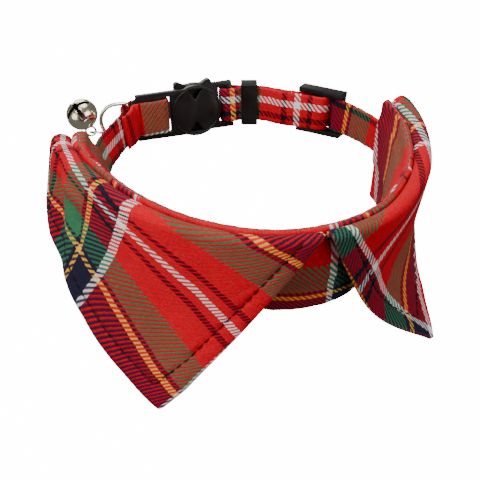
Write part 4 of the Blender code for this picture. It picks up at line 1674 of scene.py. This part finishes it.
@dataclass
class Moulding:
    """A plastic fitting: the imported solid's own form with its edges rounded."""

    node: str
    name: str
    rounding: float = 0.00028
    weld: float = 1e-6
    flat_angle: float = 1.0
    edge_angle: float = 28.0

    def build(self, nodes: dict, material: bpy.types.Material) -> bpy.types.Object:
        """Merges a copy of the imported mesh, joins its flat faces and rounds its edges.

        Args:
            nodes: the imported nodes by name.
            material: the plastic.

        Returns:
            The new object.
        """
        shape = bmesh.new()
        shape.from_mesh(nodes[self.node].data)
        bmesh.ops.remove_doubles(shape, verts=shape.verts, dist=self.weld)
        flat = math.radians(self.flat_angle)
        bmesh.ops.dissolve_limit(shape, angle_limit=flat, verts=shape.verts, edges=shape.edges)
        bmesh.ops.recalc_face_normals(shape, faces=shape.faces)
        mesh = bpy.data.meshes.new(self.name)
        shape.to_mesh(mesh)
        shape.free()
        mesh.materials.clear()
        mesh.materials.append(material)
        mesh.shade_smooth()
        piece = add_object(self.name, mesh)
        bevel = piece.modifiers.new("Edges", "BEVEL")
        bevel.width = self.rounding
        bevel.segments = 3
        bevel.limit_method = "ANGLE"
        bevel.angle_limit = math.radians(self.edge_angle)
        bevel.harden_normals = True
        return enrol(piece, Slot.PLASTIC, self.node)


def wire_ring(centres: np.ndarray, radius: float, sides: int = 16) -> tuple:
    """Round wire carried along a closed path.

    Args:
        centres: the path's points.
        radius: the wire's radius.
        sides: points round the wire.

    Returns:
        Points and faces.
    """
    ahead = unit(np.roll(centres, -1, axis=0) - np.roll(centres, 1, axis=0))
    plane = unit(np.cross(centres - centres.mean(axis=0), ahead).mean(axis=0))
    side = unit(np.cross(ahead, np.broadcast_to(plane, ahead.shape)))
    angles = circle_angles(sides)
    ring = side[:, None, :] * np.cos(angles)[:, None] + plane[None, None, :] * np.sin(angles)[:, None]
    points = centres[:, None, :] + ring * radius
    index = closed(np.arange(points.shape[0] * sides).reshape(-1, sides))
    index = np.concatenate([index, index[:1]], axis=0)
    return points.reshape(-1, 3), grid_quads(index)


@dataclass
class RingSet:
    """The D-ring in the strap's fold, the jump ring linked through it, and the bell on that."""

    neck: NeckLine
    strap: StrapTape
    depth: float = 0.0086
    jump_radius: float = 0.0029
    jump_wire: float = 0.0007
    drop_bearing: float = 162.0
    drop_dip: float = 8.0
    tilt: float = 27.0
    spot: float = -30.0
    bell_radius: float = 0.0044
    bell_wall: float = 0.0005
    slot_width: float = 0.0010
    slot_reach: float = 68.0
    slot_tilt: float = 32.0
    slot_turn: float = 20.0
    bell_bearing: float = 172.0
    bell_rise: float = 65.0
    bail_radius: float = 0.0014
    bail_wire: float = 0.0006
    slot_ease: float = 0.0001
    slot_steps: int = 7
    petal_rows: int = 22
    petal_columns: int = 17
    cap_rows: int = 30
    weld: float = 2e-6

    @staticmethod
    def direction(bearing: float, rise: float) -> np.ndarray:
        """Unit vector at a bearing and a rise above the level, in degrees."""
        turn, lift = math.radians(bearing), math.radians(rise)
        return np.array([math.cos(lift) * math.cos(turn), math.cos(lift) * math.sin(turn), math.sin(lift)])

    def build_d_ring(self, material: bpy.types.Material) -> bpy.types.Object:
        """Makes the D-ring: a straight bar in the fold and a round arc outside it.

        Args:
            material: the metal.

        Returns:
            The new object.
        """
        half = self.half_height()
        angles = np.radians(np.linspace(90.0, -90.0, 49))
        arc = np.stack([self.depth - half + half * np.cos(angles), half * np.sin(angles)], axis=-1)
        runs = np.linspace(0.0, self.depth - half, 9)[1:-1]
        low = np.stack([runs[::-1], np.full_like(runs, -half)], axis=-1)
        bar = np.stack([np.zeros(25), np.linspace(-half, half, 25)], axis=-1)
        high = np.stack([runs, np.full_like(runs, half)], axis=-1)
        flat = np.concatenate([arc, low, bar, high])
        for _ in range(3):
            flat = (np.roll(flat, 1, axis=0) + 2.0 * flat + np.roll(flat, -1, axis=0)) / 4.0
        centre, outward, _, up, _ = self.neck.frame(self.strap.ring)
        centres = centre + outward * flat[:, :1] + up * flat[:, 1:]
        points, faces = wire_ring(centres, self.strap.ring_wire / 2.0)
        return enrol(add_mesh("d_ring_wire", points, faces, material), Slot.NICKEL, "d_ring")

    def half_height(self) -> float:
        """Half the D-ring's height at its wire's middle: the strap's half width, play and half the wire."""
        return self.strap.width / 2.0 + self.strap.clearance + self.strap.ring_wire / 2.0

    def link(self) -> tuple:
        """The jump ring's centre, its two directions and the middle of its far wire.

        Returns:
            Centre, direction away from the D-ring, direction across, and the far point.
        """
        half = self.half_height()
        centre, outward, _, up, _ = self.neck.frame(self.strap.ring)
        away = self.direction(self.drop_bearing, -self.drop_dip)
        side = unit(np.cross(away, (0.0, 0.0, 1.0)))
        side = np.array(Matrix.Rotation(math.radians(self.tilt), 3, Vector(away)) @ Vector(side))
        spot = math.radians(self.spot)
        held = centre + outward * (self.depth - half + half * math.cos(spot)) + up * half * math.sin(spot)
        wire = -outward * math.sin(spot) + up * math.cos(spot)
        near = (self.strap.ring_wire + self.jump_wire) / 2.0 + self.strap.clearance
        near = near / np.linalg.norm(np.cross(away, wire))
        middle = held + away * (self.jump_radius - near)
        return middle, away, side, middle + away * self.jump_radius

    def build_jump_ring(self, material: bpy.types.Material) -> bpy.types.Object:
        """Makes the round ring that links the bell's bail to the D-ring.

        Args:
            material: the metal.

        Returns:
            The new object.
        """
        middle, away, side, _ = self.link()
        angles = circle_angles(64)[:, None]
        centres = middle + (away * np.cos(angles) + side * np.sin(angles)) * self.jump_radius
        points, faces = wire_ring(centres, self.jump_wire / 2.0)
        return enrol(add_mesh("jump_ring_wire", points, faces, material), Slot.NICKEL, "jump_ring")

    def bell_frame(self) -> tuple:
        """Where the bell hangs.

        Returns:
            Its centre, its three directions and how far below its centre the bail's centre is.
        """
        axis = self.direction(self.bell_bearing, self.bell_rise)
        side = unit(np.cross((0.0, 1.0, 0.0), axis))
        reach = self.bell_radius + self.bail_radius - self.bell_wall / 2.0
        held = (self.jump_wire + self.bail_wire) / 2.0 + self.strap.clearance
        centre = self.link()[3] + axis * (self.bail_radius - held + reach)
        return centre, side, np.cross(axis, side), axis, reach

    def petals(self, radius: float, shrink: float) -> tuple:
        """The four petals between the slots, on one face of the ball's wall.

        Rows run by the angle from the slots' pole, and columns from one slot's edge to the next.

        Args:
            radius: the face's radius.
            shrink: how much wider the slots are, as a length on each side.

        Returns:
            Points as a grid of rows, petals and columns, and the angles of each petal's last row.
        """
        half = self.slot_width / 2.0 + shrink
        reach = math.radians(self.slot_reach) - shrink / radius
        first = math.asin(min(1.0, math.sqrt(2.0) * half / radius)) * 1.0001
        rows = first + (reach - first) * spaced(self.petal_rows)
        start = np.arcsin(np.clip(half / (radius * np.sin(rows)), 0.0, 1.0))
        share = spaced(self.petal_columns)
        azimuth = start[:, None] + (math.pi / 2.0 - 2.0 * start)[:, None] * share
        azimuth = azimuth[:, None, :] + np.arange(4)[None, :, None] * math.pi / 2.0
        polar = np.broadcast_to(rows[:, None, None], azimuth.shape)
        return self.on_ball(polar, azimuth, radius), azimuth[-1]

    @staticmethod
    def on_ball(polar: np.ndarray, azimuth: np.ndarray, radius: float) -> np.ndarray:
        """Points on a ball.

        Args:
            polar: the angle from its pole.
            azimuth: the angle round it.
            radius: its radius.

        Returns:
            The points.
        """
        polar, azimuth = np.broadcast_arrays(polar, azimuth)
        level = np.sin(polar) * radius
        return np.stack([level * np.cos(azimuth), level * np.sin(azimuth), np.cos(polar) * radius], axis=-1)

    def build_bell(self, nickel: bpy.types.Material, unlit_inside: bpy.types.Material) -> bpy.types.Object:
        """The hollow ball with its crossed slots, and its soldered bail.

        Args:
            nickel: the outside finish.
            unlit_inside: the inside finish, painted dark as shade.

        Returns:
            The new object.
        """
        points, faces, inner = self.shell()
        centre, side, ahead, axis, reach = self.bell_frame()
        tilt = Matrix.Rotation(math.radians(self.slot_tilt), 3, "X")
        turn = tilt @ Matrix.Rotation(math.radians(self.slot_turn), 3, "Z")
        points = points @ np.array(turn).T
        angles = circle_angles(48)
        circle = np.stack([np.sin(angles), np.zeros(48), np.cos(angles)], axis=-1) * self.bail_radius
        bail_points, bail_faces = wire_ring(circle - np.array([0.0, 0.0, reach]), self.bail_wire / 2.0, 12)
        local = np.concatenate([points, bail_points])
        faces_all = np.concatenate([faces, bail_faces + len(points)])
        world = centre + local @ np.stack([side, ahead, axis])
        bell = add_mesh("bell_ball", world, faces_all, nickel)
        bell.data.materials.append(unlit_inside)
        flags = np.zeros(len(faces_all), dtype=np.int32)
        flags[: len(faces)][inner] = 1
        bell.data.polygons.foreach_set("material_index", flags)
        merged = bmesh.new()
        merged.from_mesh(bell.data)
        bmesh.ops.remove_doubles(merged, verts=merged.verts, dist=self.weld)
        bmesh.ops.recalc_face_normals(merged, faces=merged.faces)
        merged.to_mesh(bell.data)
        merged.free()
        return enrol(bell, Slot.NICKEL, "bell")

    def around(self, azimuth: np.ndarray) -> np.ndarray:
        """Angles right round the ball below the slots.

        Args:
            azimuth: the angles of each petal's columns.

        Returns:
            Each petal's angles and then those across the slot's end after it.
        """
        last = azimuth[:, -1]
        ahead = np.append(azimuth[1:, 0], azimuth[0, 0] + TURN)
        gap = np.linspace(0.0, 1.0, self.slot_steps + 1)[1:-1]
        ends = last[:, None] + (ahead - last)[:, None] * gap
        return np.concatenate([azimuth, ends], axis=1).ravel()

    def shell(self) -> tuple:
        """The ball's wall, closed round every slot.

        Returns:
            Points, faces, and which faces belong to the inner wall.
        """
        points, faces, ends = [], [], []
        for radius, flip in ((self.bell_radius, 1), (self.bell_radius - self.bell_wall, -1)):
            petals, azimuth = self.petals(radius, self.slot_ease)
            begin = sum(map(len, points))
            index = begin + np.arange(petals[..., 0].size).reshape(petals.shape[:3])
            last = math.radians(self.slot_reach) - self.slot_ease / radius
            polar = last + (math.pi - last) * spaced(self.cap_rows, tight_end=False)
            cap = self.on_ball(polar[:, None], self.around(azimuth)[None, :], radius)
            cap_index = begin + index.size + np.arange(cap[..., 0].size).reshape(cap.shape[:2])
            points += [petals.reshape(-1, 3), cap.reshape(-1, 3)]
            grids = [index[:, petal] for petal in range(index.shape[1])] + [closed(cap_index)]
            faces += [grid_quads(grid)[:, ::flip] for grid in grids]
            ends.append(sum(map(len, faces)))
        shift = begin
        index, ring = index - shift, cap_index[0] - shift
        for petal in range(index.shape[1]):
            for edge, order in ((0, 1), (-1, -1)):
                side = index[:, petal, edge]
                faces.append(grid_quads(np.stack([side, side + shift]))[:, ::order])
        span = index.shape[2] + self.slot_steps - 1
        for petal in range(index.shape[1]):
            run = ring[(petal * span + index.shape[2] - 1 + np.arange(self.slot_steps + 1)) % len(ring)]
            faces.append(grid_quads(np.stack([run, run + shift])))
        faces = np.concatenate(faces)
        inside = np.arange(len(faces))
        return np.concatenate(points), faces, (inside >= ends[0]) & (inside < ends[1])


@dataclass
class DiscRim:
    """The raised rim round the buckle's disc, on the side towards the neck."""

    neck: NeckLine
    strap: StrapTape
    inset: float = 0.00055
    wire: float = 0.00022

    def build(self, material: bpy.types.Material) -> bpy.types.Object:
        """A thin round bead, half sunk in the disc's face.

        Args:
            material: the plastic.

        Returns:
            The new object.
        """
        centre, outward, along, up, _ = self.neck.frame(self.strap.buckle)
        centre = centre - outward * (self.strap.clearance / 2.0 + self.strap.plate)
        angles = circle_angles(96)[:, None]
        reach = self.strap.disc_radius - self.inset
        circle = centre + (along * np.cos(angles) + up * np.sin(angles)) * reach
        points, faces = wire_ring(circle, self.wire, 12)
        return enrol(add_mesh("buckle_disc_rim", points, faces, material), Slot.PLASTIC)


@dataclass
class Studio:
    """The pale floor, the soft lights and the camera."""

    elevation: float = 29.0
    distance: float = 0.513
    aim_down: float = 60.0
    aim_left: float = 3.9
    focal_pixels: float = 1949.0
    photo_pixels: float = 480.0
    sensor: float = 36.0
    floor_height: float = -0.095
    floor_reach: float = 3.0
    floor_run: float = 10.0
    curve_depth: float = 1.5
    curve_height: float = 2.5
    floor_tones: tuple = (0.93, 0.97)
    floor_glow: float = 14.0
    world_light: float = 0.16
    lights: tuple = (
        ("key", (-0.40, -0.40, 0.70), 0.45, 9.0),
        ("fill", (0.65, -0.50, 0.30), 0.60, 4.4),
        ("top", (0.10, 0.20, 0.90), 0.60, 4.2),
        ("rim", (-0.25, 0.75, 0.35), 0.50, 3.0),
        ("card", (-0.50, -0.35, 0.02), 0.35, 1.3),
    )

    def build(self) -> None:
        """Sets up everything that isn't the object."""
        self.add_floor()
        self.add_camera()
        for name, place, size, power in self.lights:
            self.add_light(name, place, size, power)
        world = bpy.data.worlds.new("studio")
        world.use_nodes = True
        background = world.node_tree.nodes["Background"]
        background.inputs["Color"].default_value = (1.0, 1.0, 1.0, 1.0)
        background.inputs["Strength"].default_value = self.world_light
        bpy.context.scene.world = world

    def add_floor(self) -> None:
        """A wide pale floor below the collar, curved up behind it."""
        x = np.linspace(-self.floor_reach, self.floor_reach, 3)
        along = np.linspace(0.0, 1.0, 40)
        bend = np.clip(along - 0.5, 0.0, None) * math.pi
        y = -self.floor_reach + np.minimum(along, 0.5) * self.floor_run + np.sin(bend) * self.curve_depth
        z = (1.0 - np.cos(bend)) * self.curve_height
        grid_x, grid_y = np.meshgrid(x, y)
        grid_z = np.broadcast_to(z[:, None], grid_x.shape) + self.floor_height
        points = np.stack([grid_x, grid_y, grid_z], axis=-1).reshape(-1, 3)
        net = Net("floor_paper")
        surface = {
            "Base Color": net.mix(net.noise(net.solid(), 40.0), *((tone,) * 3 for tone in self.floor_tones)),
            "Roughness": 0.9,
            "Emission Color": (1.0, 1.0, 1.0, 1.0),
            "Emission Strength": self.floor_glow,
        }
        faces = grid_quads(np.arange(grid_x.size).reshape(grid_x.shape))
        floor = add_mesh("floor", points, faces, net.finish(surface))
        floor.visible_diffuse = False
        floor.visible_glossy = False

    def add_camera(self) -> None:
        """The camera at the photo's angle, aimed a little below the origin."""
        data = bpy.data.cameras.new("camera")
        data.sensor_width = self.sensor
        data.lens = self.focal_pixels / self.photo_pixels * self.sensor
        data.clip_start = 0.01
        data.clip_end = 50.0
        camera = add_object("camera", data)
        lift = math.radians(self.elevation)
        camera.location = (0.0, -self.distance * math.cos(lift), self.distance * math.sin(lift))
        down = math.atan2(self.aim_down, self.focal_pixels)
        left = math.atan2(self.aim_left, self.focal_pixels)
        camera.rotation_euler = (math.pi / 2.0 - lift - down, 0.0, left)
        bpy.context.scene.camera = camera

    @staticmethod
    def add_light(name: str, place: tuple, size: float, power: float) -> None:
        """Adds a square soft light that faces the collar.

        Args:
            name: the light's name.
            place: where it stands, in metres.
            size: its side in metres.
            power: its power in watts.
        """
        data = bpy.data.lights.new(name, "AREA")
        data.size = size
        data.energy = power
        light = add_object(name, data)
        light.location = place
        light.rotation_euler = (-Vector(place)).to_track_quat("-Z", "Y").to_euler()


# Rows of the falls: share along, roll, tuck angle, cling and flare angle
LEFT_ROWS = (
    (0.0, 1.0, -6.0, 0.30, 16.0),
    (0.25, 1.0, -8.0, 0.30, 16.0),
    (0.55, 0.84, -4.0, 0.30, 13.0),
    (0.80, 0.63, 0.0, 0.25, 13.0),
    (1.0, 0.53, 10.0, 0.25, 14.0),
)
RIGHT_ROWS = (
    (0.0, 0.74, 4.0, 0.40, 6.0),
    (0.25, 0.74, 8.0, 0.60, 12.0),
    (0.55, 0.68, 14.0, 0.80, 40.0),
    (0.80, 0.58, 17.0, 0.90, 40.0),
    (1.0, 0.53, 17.0, 0.90, 20.0),
)
LEFT_LAY = TartanLay(
    (0.040, 0.020),
    (34.38, 32.57, 16.35, 8.24, 24.63, 12.43, 12.97, 20.16, 5.90, -3.54),
    (13.90, -21.96, 33.21, -9.79, -0.01, -23.37, 0.60, -12.99, 28.62, 7.23),
)
RIGHT_LAY = TartanLay(
    (0.036, 0.015),
    (51.62, -37.54, -26.39, -2.61, -2.22, -0.18, -0.47, 9.14, 3.10, 6.07),
    (12.18, -17.10, 31.51, -8.96, -17.71, -23.08, -3.55, -8.79, -0.62, 16.88),
)
LEFT_FOLDS = (
    Fold((0.0045, 0.0050), (0.0250, 0.0086), 0.0016, 0.00075),
    Fold((0.0215, 0.0110), (0.0245, 0.0215), 0.0018, -0.00060),
    Fold((0.0300, 0.0040), (0.0420, 0.0140), 0.0022, 0.00035),
)


def make_lapels(neck: NeckLine) -> tuple:
    """The two falls with their own shapes and the tartan's lay on each.

    Args:
        neck: the strap's line.

    Returns:
        The left and the right fall.
    """
    stand = StandSizes()
    left = Lapel(
        "left_lapel", neck, side=-1.0, length=stand.left, bow=0.0, fold=0.0012,
        rows=LEFT_ROWS, mouth=stand.mouth_left, lay=LEFT_LAY, folds=LEFT_FOLDS,
    )
    right = Lapel(
        "right_lapel", neck, side=1.0, length=stand.right, bow=0.5, fold=0.0,
        rows=RIGHT_ROWS, mouth=stand.mouth_right, lay=RIGHT_LAY,
    )
    return left, right


def main() -> None:
    """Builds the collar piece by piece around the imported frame."""
    logging.basicConfig(level=logging.INFO, format="%(message)s")
    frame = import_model()
    neck = NeckLine()
    tartan = TartanCloth().build()
    thread = SewingThread().build()
    plastic = MouldedPlastic().build()
    nickel = NickelPlate().build()
    unlit_inside = DarkInside().build()
    strap = StrapTape(neck)
    strap.build(tartan)
    NeckStand(neck).build(tartan)
    for lapel in make_lapels(neck):
        lapel.build(tartan, thread)
    for node, name in (
        ("buckle_inner_half", "buckle_inner_moulding"),
        ("buckle_outer_half", "buckle_outer_moulding"),
        ("keeper_loop", "keeper_moulding"),
        ("slider", "slider_moulding"),
    ):
        Moulding(node, name).build(frame["nodes"], plastic)
    DiscRim(neck, strap).build(plastic)
    rings = RingSet(neck, strap)
    rings.build_d_ring(nickel)
    rings.build_jump_ring(nickel)
    rings.build_bell(nickel, unlit_inside)
    Studio().build()


if __name__ == "__main__":
    main()
